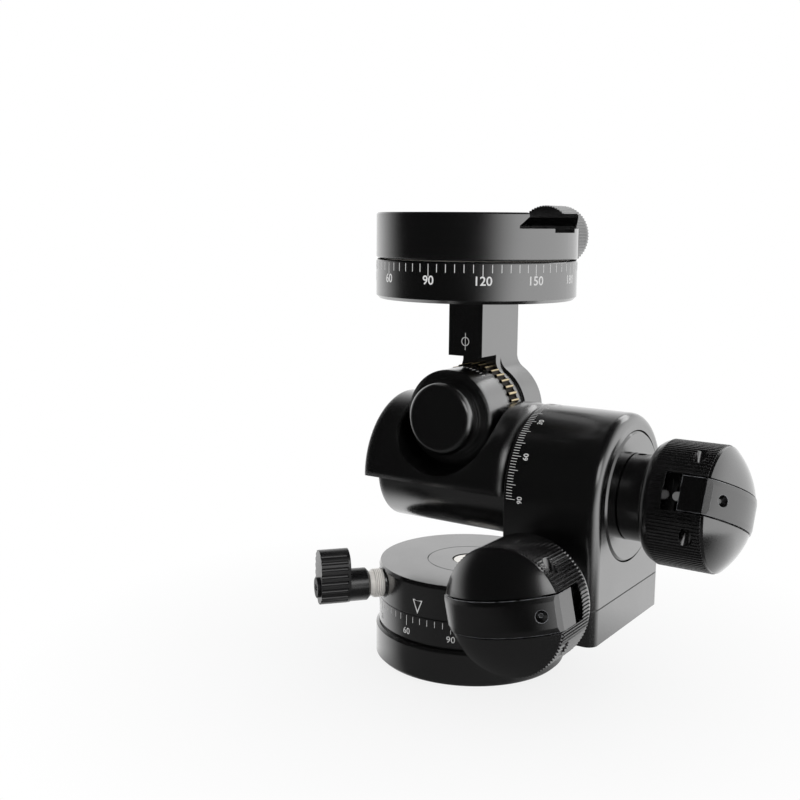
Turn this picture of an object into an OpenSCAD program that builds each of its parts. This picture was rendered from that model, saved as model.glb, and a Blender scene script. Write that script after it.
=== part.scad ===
// Geared tripod head: a panning base, two worm-driven tilt axes and a panning dovetail clamp.
// Millimetres. +Z is up, +X runs along the front-to-back tilt axis towards the side knob,
// and -Y is the front. The origin is the centre of the base's underside.

/* [Pan base] */
// How far the base drum stands out past the scale ring
drum_step = 1; // [0.2:0.1:3]
// Height of the base drum
drum_h = 11; // [9:0.5:16]
// How far the fixed scale ring stays inside the platform's rim
ring_step = 0.1; // [0:0.1:1]
// Height of the fixed scale ring
ring_h = 9; // [7:0.5:14]
// Radius of the spigot inside the scale ring
spigot_r = 22; // [20:0.5:25]
// Radius of the pan post
post_r = 9; // [7:0.5:10]
// Wall radius of the tripod socket, the core of a 3/8 inch thread
socket_r = 4; // [3:0.1:5]
// Radius of the steel insert that holds the tripod thread
insert_r = 8; // [6.5:0.5:11]
// Height of the steel insert
insert_h = 8; // [6:0.5:9]
// Thickness of the thrust washer
washer_t = 1; // [0.6:0.1:1.6]

/* [Platform] */
// Radius of the rotating platform
platform_r = 30.1; // [27:0.1:34]
// Thickness of the rotating platform and its arm
platform_t = 11; // [10.6:0.2:16]
// Edge chamfer of the platform
platform_chamfer = 1.2; // [0.4:0.1:2]
// Radius of the cover cap over the pan bearing
cap_r = 14.25; // [14:0.05:18]
// Thickness of the cover cap
cap_t = 1.2; // [0.8:0.1:1.6]
// Radius of the hole in the cover cap
cap_hole_r = 6.1; // [6:0.1:9]

/* [Pan lock] */
// Direction of the lock, degrees from the front towards the far side
lock_angle = 40; // [20:1:80]
// Height of the lock's axis above the platform's underside
lock_rise = 5.5; // [5:0.1:5.6]
// Radius of the threaded stud
stud_r = 4.4; // [3.8:0.1:4.6]
// Free length of the stud outside the platform
stud_free = 4.9; // [3:0.1:10]
// Radius of the lever's round neck
lever_neck_r = 5.2; // [4.8:0.1:7]
// Length of the lever's round neck
lever_neck_l = 6.6; // [4:0.1:12]
// Length of the lever's ribbed head
lever_head_l = 9.4; // [8:0.1:18]
// Radius of the head about the lock's axis
lever_head_r = 5.4; // [5.3:0.1:8]
// Radius of the head's outer end
lever_tip_r = 5.2; // [4:0.1:5.3]
// Distance from the lock's axis to the head's outer end
lever_reach = 6.9; // [4:0.1:10]

/* [Tilt axis] */
// Height of the tilt axis above the platform
tilt_rise = 29.3; // [28.6:0.1:34]
// Radius of the cradle and of the upright's arch
arch_r = 24.7; // [24.4:0.1:29]
// Distance from the pan axis to the upright
upright_x = 25.3; // [24.6:0.1:30]
// Length of the upright
upright_l = 29.8; // [28.4:0.1:36]
// Rounding of the upright's outer edges
upright_round = 3.2; // [1:0.1:4]
// Length of the cradle on the far side of the pan axis
cradle_l = 25.9; // [24:0.1:30]
// Rounding of the cradle's far end
cradle_round = 1.2; // [1:0.1:5]
// Radius of the cradle's lower barrel
barrel_r = 17.3; // [15:0.1:20]
// Radius of the hollow spindle
spindle_r = 11; // [9:0.1:11.6]

/* [Gearing] */
// Tooth pitch of both worm drives
tooth_pitch = 2.356; // [2.2:0.001:2.37]
// Teeth of the wheel on the tilt axis
wheel_a_teeth = 50; // [46:1:50]
// Teeth of the wheel under the neck
wheel_b_teeth = 40; // [38:1:40]
// Mean radius of the front worm
worm_a_r = 6; // [5.6:0.1:6.2]
// Mean radius of the side worm
worm_b_r = 5; // [4.8:0.1:5.2]
// Half depth of the threads
thread_e = 0.55; // [0.5:0.01:0.6]
// Play between a worm and its wheel
mesh_gap = 0.15; // [0.15:0.01:0.3]
// Face width of the tilt wheel
wheel_a_w = 6; // [4:0.5:7]
// Radius of both worm shafts
shaft_r = 3.5; // [3:0.1:3.7]

/* [Knobs] */
// Radius over the ribs
knob_r = 18.5; // [17.5:0.1:22]
// Length of the ribbed part
knob_l = 19.5; // [18.5:0.1:26]
// Height of the dome
dome_h = 8; // [7.5:0.1:10]
// Number of ribs
knob_ribs = 108; // [60:1:120]
// Depth of the ribs
rib_depth = 0.35; // [0.2:0.05:0.6]
// Rounding of the knob's back edge
knob_round = 3.5; // [2:0.1:5]
// Radius of the hub
hub_r = 13; // [10:0.1:14]
// Distance from the pan axis to the side knob's rim
side_rim = 82.6; // [81:0.1:95]
// Distance from the pan axis to the front knob's rim
front_rim = 49.5; // [48.5:0.1:62]
// Distance from the pan axis to the front knob's axis
drive_x = 39.3; // [38.6:0.1:41]
// Rest direction of the front crank, degrees
front_turn = 11.5; // [0:0.5:90]
// Rest direction of the side crank, degrees
side_turn = 246; // [180:0.5:270]

/* [Cranks] */
// Width of a crank
crank_w = 10; // [8:0.1:12]
// Thickness of a crank's strap
crank_t = 4; // [3:0.1:4.5]
// Distance from the knob's axis to the crank's pin
crank_pin_off = 14; // [13.6:0.1:14.4]
// Depth of the crank's pin below the knob's rim
crank_pin_deep = 4.6; // [4.3:0.1:4.9]
// Length of the crank's turned-down end
crank_wrap = 7.3; // [6.5:0.1:8]
// Radius of the crank's pin
crank_pin_r = 1.5; // [1.2:0.1:1.8]
// Depth of the slot beside the crank's turned-down end
crank_slot = 12; // [11.8:0.1:13]

/* [Neck] */
// Radius of the front boss and of its scale
boss_r = 14.8; // [13.5:0.1:15.5]
// How far the front boss stays behind the cradle's front
boss_set = 9.6; // [7:0.1:12]
// Radius of the rear boss
rear_boss_r = 11; // [9:0.1:13]
// Rear face of the neck, behind the tilt axis
neck_back = 17.2; // [14:0.1:18]
// Front face of the neck, ahead of the tilt axis
neck_front = 5.95; // [4:0.05:9]
// Width of the neck
neck_w = 12.2; // [11:0.1:14]
// Radius of the neck's disc
neck_disc_r = 15.7; // [14:0.1:16.5]
// Rounding between the neck and its disc
neck_round = 5; // [2:0.1:6]
// Rise of the neck from its axis to the clamp's scale disc
neck_rise = 36.3; // [33:0.1:44]
// Clearance of the neck's front lip over the boss
lip_gap = 3.4; // [1.5:0.1:5]
// Radius of the pivot axle
axle_r = 5; // [3.5:0.1:6]
// Radius of the front pivot cap
pivot_cap_r = 11.3; // [9:0.05:12.5]
// Length of the front pivot cap
pivot_cap_l = 6.6; // [4:0.1:9]

/* [Clamp] */
// Radius of both clamp discs
clamp_r = 31.5; // [30:0.1:36]
// Height of the scale disc
scale_disc_h = 12.1; // [10:0.1:16]
// Height of the clamp's body
clamp_h = 13.9; // [13.4:0.1:18]
// Gap between the two discs
clamp_gap = 0.45; // [0.3:0.05:0.8]
// Half width of the dovetail groove at its floor
groove_half = 18.8; // [18.2:0.1:20]
// Depth of the dovetail groove
groove_deep = 4.6; // [4.2:0.1:5]
// Overhang of the jaws over the groove
jaw_lip = 2.6; // [1.5:0.1:3]
// How far the moving jaw opens
jaw_travel = 5; // [3:0.5:6]
// Radius of the clamp's knob
clamp_knob_r = 10.5; // [8:0.1:12]
// Length of the clamp's knob
clamp_knob_l = 15; // [10:0.1:22]

/* [Hidden] */
$fn = 64;
// Radial clearance of shafts that turn in a bush, and of pieces seated in one another
run_gap = 0.05;
seat_gap = 0.02;
// Gap between faces of different moving bodies
face_gap = 0.3;
// Overlap that keeps cuts clean
eps = 1;

// Radii of the pan base, which follow the platform's rim
ring_r = platform_r - ring_step;
drum_r = ring_r + drum_step;

// Levels of the pan base and the platform
z_ring = drum_h;
z_platform = drum_h + ring_h + face_gap;
z_top = z_platform + platform_t;
z_washer = z_platform - washer_t;
z_cap = z_top - cap_t;
flange_t = 1.6;
z_flange = z_cap - 0.2 - flange_t;
flange_r = post_r + 3;
pan_bush_h = 2;
bush_wall = 2;
arm_relief = 0.4;
arm_x = upright_x + upright_l;

// Screws of the base and the platform
bolt_r = 3;
bolt_head_r = cap_hole_r - 0.5;
bolt_head_h = cap_t;
base_screw_r = 1.5;
base_screw_head_r = 2.8;
base_screw_head_h = 2.6;
base_screw_bite = 5.5;
upright_screw_r = 2;
upright_screw_head_r = 3.6;
upright_screw_head_h = 4;
upright_screw_deep = 6;
upright_screw_bite = 8.5;
lock_screw_l = 7;
lock_screw_head_r = 3.2;
lock_screw_head_h = 0.9;
screw_end_gap = 0.5;

// Pan lock stations along its axis
z_lock = z_platform + lock_rise;
shoe_r = 1.8;
stud_in = 16;
stud_collar_l = 1.5;
stud_core_r = stud_r - 0.7;
lever_from = platform_r + stud_free;
lever_head = lever_from + lever_neck_l;
lever_end = lever_head + lever_head_l;
lock_screw_r = 2;

// Gear sizes: pitch radii, centre distances and axis heights
wheel_a_r = wheel_a_teeth * tooth_pitch / (2 * PI);
wheel_b_r = wheel_b_teeth * tooth_pitch / (2 * PI);
tooth_e = thread_e - 0.05;
centre_a = wheel_a_r + worm_a_r + mesh_gap;
centre_b = wheel_b_r + worm_b_r + mesh_gap;
z_tilt = z_top + tilt_rise;
z_drive = z_tilt - centre_a;
z_neck = z_tilt + centre_b;
worm_turns = 6;
worm_l = worm_turns * tooth_pitch;
worm_room = 0.65;
worm_room_a_r = worm_a_r + thread_e + worm_room;
worm_room_b_r = worm_b_r + thread_e + worm_room;

// Tilt axis stations along X
cradle_gap = 0.7;
cradle_x = upright_x - cradle_gap;
disc_cover = 0.25;
end_disc_r = wheel_a_r + tooth_e + disc_cover;
disc_boss_wall = 3;
wheel_room_r = end_disc_r + face_gap;
journal_l = 7.7;
disc_t = 4.5;
disc_face = arm_x + 0.4;
disc_x = disc_face - disc_t;
spindle_x = 15;
outer_bush_wall = 1.2;
spindle_bore_r = shaft_r + outer_bush_wall;
plug_r = 8;
plug_t = 3.4;
plug_x = plug_t + 0.3 - cradle_l;
shaft_bush_l = 7;
worm_rear = 18;
front_bush_l = 8.5;

// Neck stations along Y, positive to the rear
wheel_front = -1.5;
wheel_rear = 3.1;
web_r = wheel_b_r - 0.1;
web_rear = worm_b_r + thread_e + worm_room;
slot_r = max(wheel_b_r + tooth_e, neck_disc_r) + 1.3;
slot_front = wheel_front - face_gap;
slot_rear = neck_back + 0.4;
boss_front = arch_r - boss_set;
boss_rear = slot_rear + 5.4;
boss_groove_deep = 8;
rear_cap_l = 2.8;
rear_cap_r = rear_boss_r - 1.5;
neck_bush_r = axle_r + 2;
z_lip = z_neck + boss_r + lip_gap;
z_disc = z_neck + neck_rise;
neck_screw_r = 1.5;
neck_screw_head_r = 2.6;
neck_screw_floor = 5;
neck_screw_head_h = 3;
neck_screw_bite = 8.5;
neck_screw_x = 3;
neck_screw_inset = 4.2;

// Clamp levels, and its jaw, screw and guides along Y
z_disc_top = z_disc + scale_disc_h;
z_clamp = z_disc_top + clamp_gap;
z_clamp_top = z_clamp + clamp_h;
z_floor = z_clamp_top - groove_deep;
z_jaw = z_clamp + 4;
screw_rise = 6.6;
z_screw = z_clamp + screw_rise;
jaw_face = groove_half + 0.5;
jaw_heel = 0.8;
jaw_block_w = 16;
jaw_back = clamp_r + 5.5;
clamp_screw_r = 2.5;
clamp_screw_in = 11;
clamp_stem_l = 9;
clamp_knob_y = jaw_back + 0.5 + clamp_stem_l;
clamp_knob_edge = 1.5;
clamp_screw_end = clamp_knob_y + clamp_knob_l - 3;
guide_x = 15;
guide_r = 2;
guide_end = jaw_face + jaw_travel + 1;
pivot_r = 6;
pivot_stud_r = 3;
pivot_stud_in = 6.5;
pivot_head_r = 9;
pivot_head_h = 2.4;
z_pivot_head = z_clamp + 3.6;

// Knob and crank, in a frame with the rim at zero and the dome upwards
dome_r = (knob_r * knob_r + dome_h * dome_h) / (2 * dome_h);
dome_z = dome_h - dome_r;
valley_r = knob_r - rib_depth;
crank_gap = 0.4;
crank_leg = crank_pin_off - 3;
crank_tail = -3;
crank_side = valley_r - 0.3;
crank_swing_r = 6.9;
pin_mouth_r = crank_pin_r + 0.4;
pin_half = sqrt(pow(valley_r, 2) - pow(crank_pin_off, 2)) - 2.2;
knob_bore_end = 3 - knob_l;
detent_r = 1.3;
detent_z = 1.8 - crank_slot;
detent_in = 6.5;
grub_r = 1.3;
grub_back = 1.9;
grub_turn = 294;
front_hub_l = front_rim - knob_l - arch_r - face_gap;
side_hub_l = side_rim - knob_l - disc_face - face_gap;

// Frames: a local Z axis laid along an axis of the head

// Local Z to +X, local X to +Y, local Y to +Z
module along_x() { rotate([90, 0, 90]) children(); }

// Local Z to -Y, local X to +X, local Y to +Z
module along_front() { rotate([90, 0, 0]) children(); }

// On the tilt axis, local Z towards the side knob
module at_tilt() { translate([0, 0, z_tilt]) along_x() children(); }

// On the neck's axis, local Z to the front
module at_neck() { translate([0, 0, z_neck]) along_front() children(); }

// On the front worm's axis, local Z to the front
module at_drive() { translate([drive_x, 0, z_drive]) along_front() children(); }

// On the pan lock's axis, local Z outwards and local X upwards
module at_lock() {
    translate([0, 0, z_lock]) rotate([0, 0, -90 - lock_angle]) rotate([0, 90, 0])
        rotate([0, 0, 180]) children();
}

// Along Y to the rear, at the height of the clamp's screw
module at_screw(x = 0) { translate([x, 0, z_screw]) rotate([-90, 0, 0]) children(); }

// The side knob's frame: local Z out along the tilt axis, local X along the crank
module at_side_knob() {
    translate([side_rim, 0, z_tilt]) rotate([0, 90, 0]) rotate([0, 0, side_turn]) children();
}

// The front knob's frame
module at_front_knob() {
    translate([drive_x, -front_rim, z_drive]) along_front() rotate([0, 0, front_turn]) children();
}

// Shared shapes

// The point at a radius and an angle
function spot(r, a) = r * [cos(a), sin(a)];

// A cylinder between two stations on its axis
module rod(r, from, to) { translate([0, 0, from]) cylinder(r = r, h = to - from); }

// A tube between two stations on its axis
module tube(r, bore, from, to) {
    difference() {
        rod(r, from, to);
        rod(bore, from - eps, to + eps);
    }
}

// Half section of a bar from one station to another, with rounded end corners
module rounded_section(r, from, to, round_from, round_to) {
    translate([0, from + round_from]) square([r, to - from - round_from - round_to]);
    translate([0, from]) square([r - round_from, round_from + eps]);
    translate([0, to - round_to - eps]) square([r - round_to, round_to + eps]);
    translate([r - round_from, from + round_from]) circle(round_from);
    translate([r - round_to, to - round_to]) circle(round_to);
}

// Half section of a bar with a square near end and a rounded far end
module half_rounded_section(r, from, to, round_to) {
    translate([0, from]) square([r, to - from - round_to]);
    translate([0, from]) square([r - round_to, to - from]);
    translate([r - round_to, to - round_to]) circle(round_to);
}

// Half section of a bar with bevelled ends
module bevelled_section(r, from, to, bevel_from, bevel_to) {
    polygon([[0, from], [r - bevel_from, from], [r, from + bevel_from], [r, to - bevel_to],
        [r - bevel_to, to], [0, to]]);
}

// Outline of a ribbed grip: flat ribs with flat valleys
module ribbed_outline(r, depth, count) {
    step = 360 / count;
    polygon([for (i = [0:count - 1]) for (k = [0:3])
        let (a = (i + k / 4) * step, q = k < 2 ? r : r - depth) [q * cos(a), q * sin(a)]]);
}

// Outline of a worm wheel with waved teeth, one of them pointing down
module wheel_outline(r, depth, teeth) {
    points = 6;
    polygon([for (i = [0:teeth * points - 1])
        let (a = 360 * i / (teeth * points) - 90, q = r + depth * cos(360 * i / points))
            [q * cos(a), q * sin(a)]]);
}

// A single-start right-hand worm about local Z: a round bar set off its axis and twisted.
// At the middle of its length it is thrown out towards the given direction.
module worm(r, direction) {
    difference() {
        translate([0, 0, -worm_l / 2])
            linear_extrude(height = worm_l, twist = -360 * worm_turns, slices = 12 * worm_turns, $fn = 20)
                rotate(direction) translate([thread_e, 0]) circle(r);
        rod(shaft_r + seat_gap, -worm_l, worm_l);
    }
}

// A socket-head screw along local Z, its head's underside at zero
module cap_screw(r, length, head_r, head_h, key_r) {
    difference() {
        union() {
            rod(r, -length, head_h / 4);
            rod(head_r, 0, head_h);
        }
        translate([0, 0, head_h * 0.4]) cylinder(r = key_r, h = head_h, $fn = 6);
    }
}

// Pan base

// Four places under the drum where the scale ring is screwed on
module base_screw_places() {
    for (k = [0:3]) rotate([0, 0, 45 + 90 * k]) translate([(spigot_r + ring_r) / 2, 0, 0]) children();
}

module base_drum() {
    color("#1b1b1d") difference() {
        union() {
            rotate_extrude() bevelled_section(drum_r, 0, drum_h, 1, 0.8);
            rod(spigot_r, z_ring - eps, z_washer);
        }
        rod(insert_r + seat_gap, -eps, insert_h);
        rod(post_r + seat_gap, z_ring, z_washer + eps);
        rod(bolt_r + seat_gap, insert_h - eps, z_ring + eps);
        base_screw_places() {
            rod(base_screw_r + seat_gap, -eps, z_ring + eps);
            rod(base_screw_head_r + seat_gap, -eps, base_screw_head_h);
        }
    }
}

module pan_scale_ring() {
    groove_h = 1;
    groove_in = 0.8;
    color("#1b1b1d") difference() {
        union() {
            rod(ring_r, z_ring + groove_h, z_ring + ring_h);
            rod(ring_r - groove_in, z_ring, z_ring + 2 * groove_h);
        }
        rod(spigot_r + seat_gap, z_ring - eps, z_ring + ring_h + eps);
        base_screw_places()
            rod(base_screw_r + seat_gap, z_ring - eps, z_ring + base_screw_bite + screw_end_gap);
    }
}

module tripod_insert() {
    color("#b8bbbf") tube(insert_r, socket_r, 0, insert_h);
}

module pan_post() {
    color("#b8bbbf") difference() {
        union() {
            rod(post_r, z_ring, z_flange + flange_t / 2);
            rod(flange_r, z_flange, z_flange + flange_t);
        }
        rod(bolt_r + seat_gap, z_ring - eps, z_top);
    }
}

module pan_bolt() {
    head_z = z_flange + flange_t;
    color("#c4c7ca") translate([0, 0, head_z])
        cap_screw(bolt_r, head_z - insert_h - 0.3, bolt_head_r, bolt_head_h, 2.5);
}

module thrust_washer() {
    color("#c9c2ae") tube(spigot_r - 0.5, post_r + 2.5, z_washer, z_platform);
}

module base_screws() {
    color("#a9acb0") base_screw_places() translate([0, 0, base_screw_head_h]) rotate([180, 0, 0])
        cap_screw(base_screw_r, z_ring + base_screw_bite - base_screw_head_h, base_screw_head_r,
            base_screw_head_h - 0.1, 1.2);
}

// Rotating platform

// Four places where the upright is screwed to the arm
module upright_screw_places() {
    for (x = [upright_x + 4, arm_x - 5]) for (side = [-1, 1])
        translate([x, side * (arch_r - 4.6), z_platform + arm_relief]) children();
}

// The arm's outline: straight sides and two rounded outer corners, drawn in by an inset
module arm_outline(from, inset = 0) {
    half = arch_r - inset;
    end = arm_x - inset;
    round_r = upright_round - inset;
    translate([from, -half]) square([end - round_r - from, 2 * half]);
    translate([from, round_r - half]) square([end - from, 2 * (half - round_r)]);
    for (side = [-1, 1]) translate([end - round_r, side * (half - round_r)]) circle(round_r);
}

// Room round the front worm and its bushes, shared by the arm and the upright
module worm_room_a() {
    at_drive() rod(worm_room_a_r, -worm_rear, arch_r + eps);
}

module platform() {
    color("#1b1b1d") difference() {
        union() {
            rotate_extrude() polygon([[0, z_platform], [platform_r, z_platform],
                [platform_r, z_top - platform_chamfer],
                [platform_r - platform_chamfer * 0.4, z_top], [0, z_top]]);
            translate([0, 0, z_platform + arm_relief])
                linear_extrude(platform_t - arm_relief) arm_outline(0);
            at_lock() rod(stud_r + 0.6, platform_r - 6, platform_r + 0.3);
        }
        rod(post_r + 0.5, z_platform - eps, z_top);
        rod(post_r + bush_wall + seat_gap, z_platform - eps, z_platform + pan_bush_h);
        rod(flange_r + 1.2, z_flange - face_gap, z_top);
        rod(cap_r + seat_gap, z_cap, z_top + eps);
        at_lock() rod(shoe_r + seat_gap, post_r, platform_r);
        at_lock() rod(stud_r + run_gap, stud_in, platform_r + eps);
        worm_room_a();
        upright_screw_places() {
            rod(upright_screw_r + seat_gap, -eps, platform_t);
            rod(upright_screw_head_r + seat_gap, -eps, upright_screw_deep);
        }
    }
}

module platform_cap() {
    color("#222224") difference() {
        rotate_extrude() bevelled_section(cap_r, z_cap, z_top, 0.1, 0.3);
        rod(cap_hole_r, z_cap - eps, z_top + eps);
    }
}

module pan_bush() {
    color("#b08d57")
        tube(post_r + bush_wall, post_r + run_gap, z_platform, z_platform + pan_bush_h);
}

module brake_shoe() {
    color("#b5944e") at_lock() rod(shoe_r, post_r + face_gap, stud_in - 0.2);
}

module upright() {
    seam = 0.4;
    color("#1b1b1d") difference() {
        union() {
            // straight sides with rounded outer edges, over a narrow seam
            translate([0, 0, z_top]) linear_extrude(seam + eps) arm_outline(upright_x, seam);
            translate([0, 0, z_top + seam]) linear_extrude(tilt_rise - seam) arm_outline(upright_x);
            // round arch on top
            at_tilt() rotate_extrude(angle = 180)
                half_rounded_section(arch_r, upright_x, arm_x, upright_round);
        }
        at_tilt() {
            rod(spindle_r + bush_wall + seat_gap, upright_x - eps, arm_x);
            rod(wheel_room_r, upright_x + journal_l, arm_x + eps);
        }
        worm_room_a();
        upright_screw_places()
            rod(upright_screw_r + seat_gap, 0, platform_t + upright_screw_bite + screw_end_gap);
    }
}

module upright_screws() {
    color("#2a2a2c") upright_screw_places() translate([0, 0, upright_screw_deep]) rotate([180, 0, 0])
        cap_screw(upright_screw_r, platform_t + upright_screw_bite - upright_screw_deep,
            upright_screw_head_r, upright_screw_head_h, 1.7);
}

module spindle_bush() {
    color("#b08d57") at_tilt()
        tube(spindle_r + bush_wall, spindle_r + run_gap, upright_x, upright_x + journal_l);
}

module worm_bush_front() {
    color("#b08d57") at_drive()
        tube(worm_room_a_r - seat_gap, shaft_r + run_gap, arch_r - front_bush_l, arch_r - 0.2);
}

module worm_bush_rear() {
    color("#b08d57") at_drive()
        tube(worm_room_a_r - seat_gap, shaft_r + run_gap, -worm_rear, -worm_l / 2 - 2);
}

// Pan lock

module pan_lock_stud() {
    color("#c4c7ca") at_lock() {
        rod(stud_r, stud_in, lever_from - stud_collar_l);
        rod(stud_r - 0.4, stud_in, lever_from);
        rod(stud_core_r, stud_in, lever_head - 1);
    }
}

// Outline of the lever's head: two round ends joined by their common tangents
module lever_outline() {
    lean = acos((lever_head_r - lever_tip_r) / lever_reach);
    circle(lever_head_r);
    translate([lever_reach, 0]) circle(lever_tip_r);
    polygon([for (side = [-1, 1]) for (end = [0, 1])
        let (far = side < 0 ? end : 1 - end, r = far > 0 ? lever_tip_r : lever_head_r)
            [far * lever_reach + r * cos(lean), side * r * sin(lean)]]);
}

module pan_lock_lever() {
    rib_pitch = 2.1;
    groove_r = 0.65;
    groove_out = 0.15;
    flank_grooves = 3;
    lean = acos((lever_head_r - lever_tip_r) / lever_reach);
    head_step = rib_pitch / lever_head_r * 180 / PI;
    tip_step = rib_pitch / lever_tip_r * 180 / PI;
    head_out = lever_head_r + groove_out;
    tip_out = lever_tip_r + groove_out;
    // places round the head: its lower end, its flank and its outer end
    places = concat([for (k = [1:3]) spot(head_out, lean + k * head_step)],
        [for (k = [0:flank_grooves]) let (t = k / flank_grooves)
            [t * lever_reach, 0] + spot(head_out + t * (tip_out - head_out), lean)],
        [for (k = [1:2]) [lever_reach, 0] + spot(tip_out, lean - k * tip_step)]);
    color("#242426") at_lock() difference() {
        union() {
            rotate_extrude() bevelled_section(lever_neck_r, lever_from, lever_head + eps, 0.8, 0.1);
            translate([0, 0, lever_head]) linear_extrude(lever_head_l) lever_outline();
        }
        rod(stud_core_r + seat_gap, lever_from - eps, lever_head - 1);
        rod(lock_screw_r + seat_gap, lever_head + 2, lever_end + eps);
        // grip grooves on both sides
        for (side = [-1, 1]) for (p = places) translate([p[0], side * p[1], lever_head + 0.8])
            cylinder(r = groove_r, h = lever_head_l, $fn = 16);
    }
}

module pan_lock_screw() {
    color("#c4c7ca") at_lock() translate([0, 0, lever_end])
        cap_screw(lock_screw_r, lock_screw_l, lock_screw_head_r, lock_screw_head_h, 1.2);
}

// Cradle

// The cut round a boss: open ahead of its face, then a ring-shaped groove beside it
module boss_groove(r, face, depth) {
    rod(slot_r, face, face + 2 * arch_r);
    tube(slot_r, r, face - depth, face + eps);
}

module cradle() {
    barrel_round = 1.5;
    near_round = 1.2;
    arch_round = 4;
    color("#1b1b1d") difference() {
        union() {
            at_tilt() rotate_extrude(angle = 180)
                rounded_section(arch_r, -cradle_l, cradle_x, cradle_round, arch_round);
            at_tilt() rotate_extrude()
                rounded_section(barrel_r, -cradle_l, cradle_x, barrel_round, near_round);
            at_neck() rod(boss_r, -slot_front, boss_front);
            at_neck() rod(rear_boss_r, -boss_rear, -slot_rear);
        }
        at_neck() rod(slot_r, -slot_rear, -slot_front);
        at_neck() boss_groove(boss_r, boss_front, boss_groove_deep);
        at_neck() rotate([0, 180, 0]) boss_groove(rear_boss_r, boss_rear, boss_rear - slot_rear - 2);
        at_neck() rod(axle_r + seat_gap, -boss_rear - eps, boss_front + eps);
        at_tilt() rod(plug_r + seat_gap, -cradle_l - eps, plug_x);
        at_tilt() rod(worm_room_b_r, -cradle_l, spindle_x + eps);
        at_tilt() rod(spindle_r + seat_gap, spindle_x, cradle_x + eps);
    }
}

module spindle() {
    color("#8f9296") at_tilt() tube(spindle_r, spindle_bore_r, spindle_x, disc_x);
}

module tilt_wheel() {
    color("#b58a3c") at_tilt() translate([0, 0, drive_x - wheel_a_w / 2]) linear_extrude(wheel_a_w)
        difference() {
            wheel_outline(wheel_a_r, tooth_e, wheel_a_teeth);
            circle(spindle_r + seat_gap);
        }
}

module end_disc() {
    color("#1f1f21") at_tilt() difference() {
        union() {
            rotate_extrude() bevelled_section(end_disc_r, disc_x, disc_face, 0.2, 0.6);
            rod(spindle_r + disc_boss_wall, drive_x + wheel_a_w / 2, disc_x + eps);
        }
        rod(spindle_r + seat_gap, 0, disc_x);
        rod(spindle_bore_r, disc_x - eps, disc_face + eps);
    }
}

module shaft_bush_inner() {
    color("#b08d57") at_tilt()
        tube(worm_room_b_r - seat_gap, shaft_r + run_gap, plug_x, plug_x + shaft_bush_l);
}

module shaft_bush_outer() {
    color("#b08d57") at_tilt()
        tube(spindle_bore_r - seat_gap, shaft_r + run_gap, disc_face - shaft_bush_l, disc_face);
}

module bearing_plug() {
    slot_w = 2;
    slot_in = 1.2;
    color("#1f1f21") at_tilt() difference() {
        rod(plug_r, plug_x - plug_t, plug_x);
        translate([-plug_r - eps, -slot_w / 2, plug_x - plug_t - eps])
            cube([2 * (plug_r + eps), slot_w, slot_in + eps]);
    }
}

module pivot_axle() {
    color("#9a9da1") at_neck() rod(axle_r, -boss_rear, boss_front);
}

module pivot_cap_front() {
    flange_h = 1.9;
    cap_edge = 2.2;
    color("#1f1f21") at_neck() translate([0, 0, boss_front]) {
        rod(pivot_cap_r + 0.9, 0, flange_h);
        rotate_extrude() half_rounded_section(pivot_cap_r, 0, pivot_cap_l, cap_edge);
    }
}

module pivot_cap_rear() {
    color("#1f1f21") at_neck() rotate([0, 180, 0]) translate([0, 0, boss_rear])
        rotate_extrude() bevelled_section(rear_cap_r, 0, rear_cap_l, 0.1, 0.8);
}

// Knobs with fold-out cranks, in a frame with the rim at zero and the dome upwards

// The crank's bow seen from the side, at the given depth below the dome
module bow(depth) { translate([0, dome_z]) circle(dome_r - depth, $fn = 128); }

// Side view of the crank: a bowed strap, turned down at one end round its pin
module crank_outline() {
    fold = 0.8;
    fold_z = dome_z + sqrt(pow(dome_r, 2) - pow(crank_side - fold, 2));
    difference() {
        union() {
            intersection() {
                difference() {
                    bow(0);
                    bow(crank_t);
                }
                translate([-crank_side, crank_tail]) square([2 * crank_side, dome_h - crank_tail + eps]);
            }
            intersection() {
                bow(0);
                translate([crank_leg, -crank_wrap]) square([crank_side - crank_leg, crank_wrap + dome_h]);
            }
        }
        // bevel where the strap turns down over the rim
        polygon([[crank_side, -fold / 3], [crank_side - fold, fold_z], [crank_side - fold, dome_h],
            [knob_r + eps, dome_h], [knob_r + eps, -fold / 3]]);
        translate([crank_pin_off, -crank_pin_deep]) circle(crank_pin_r + run_gap);
    }
}

module crank() {
    dimple_r = 1.8;
    dimple_deep = 1.6;
    proud = 0.25;
    color("#2b2b2d") difference() {
        intersection() {
            along_front() linear_extrude(crank_w, center = true) crank_outline();
            // the strap's edges are eased to lie just proud of the dome
            rotate_extrude() intersection() {
                bow(-proud);
                translate([0, -knob_l]) square([knob_r + eps, knob_l + dome_r]);
            }
        }
        translate([0, 0, dome_z]) rotate([0, asin(crank_pin_off / dome_r), 0])
            translate([0, 0, dome_r - dimple_deep])
                cylinder(r1 = dimple_r / 3, r2 = dimple_r, h = dimple_deep + 0.1);
    }
}

// The room for the crank in the knob, seen from the side: under the strap, beside the
// turned-down end, and round the pin where that end swings
module crank_room() {
    low = crank_tail - crank_gap;
    difference() {
        translate([-knob_r - eps, low]) square([2 * (knob_r + eps), dome_h + eps - low]);
        bow(crank_t + crank_gap);
    }
    translate([crank_leg - crank_gap, -crank_slot]) square([knob_r, crank_slot]);
    translate([crank_pin_off, -crank_pin_deep]) circle(crank_swing_r);
}

// The pin lies across the knob, off its axis
module crank_pin(r) {
    translate([crank_pin_off, 0, -crank_pin_deep]) along_front() rod(r, -pin_half, pin_half);
}

// The pin's hole opens wider at the ribs
module pin_mouths() {
    for (side = [0, 180]) rotate([side, 0, 0])
        translate([crank_pin_off, 0, (side > 0 ? 1 : -1) * crank_pin_deep]) along_front()
            rod(pin_mouth_r, pin_half + 0.1, knob_r);
}

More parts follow.
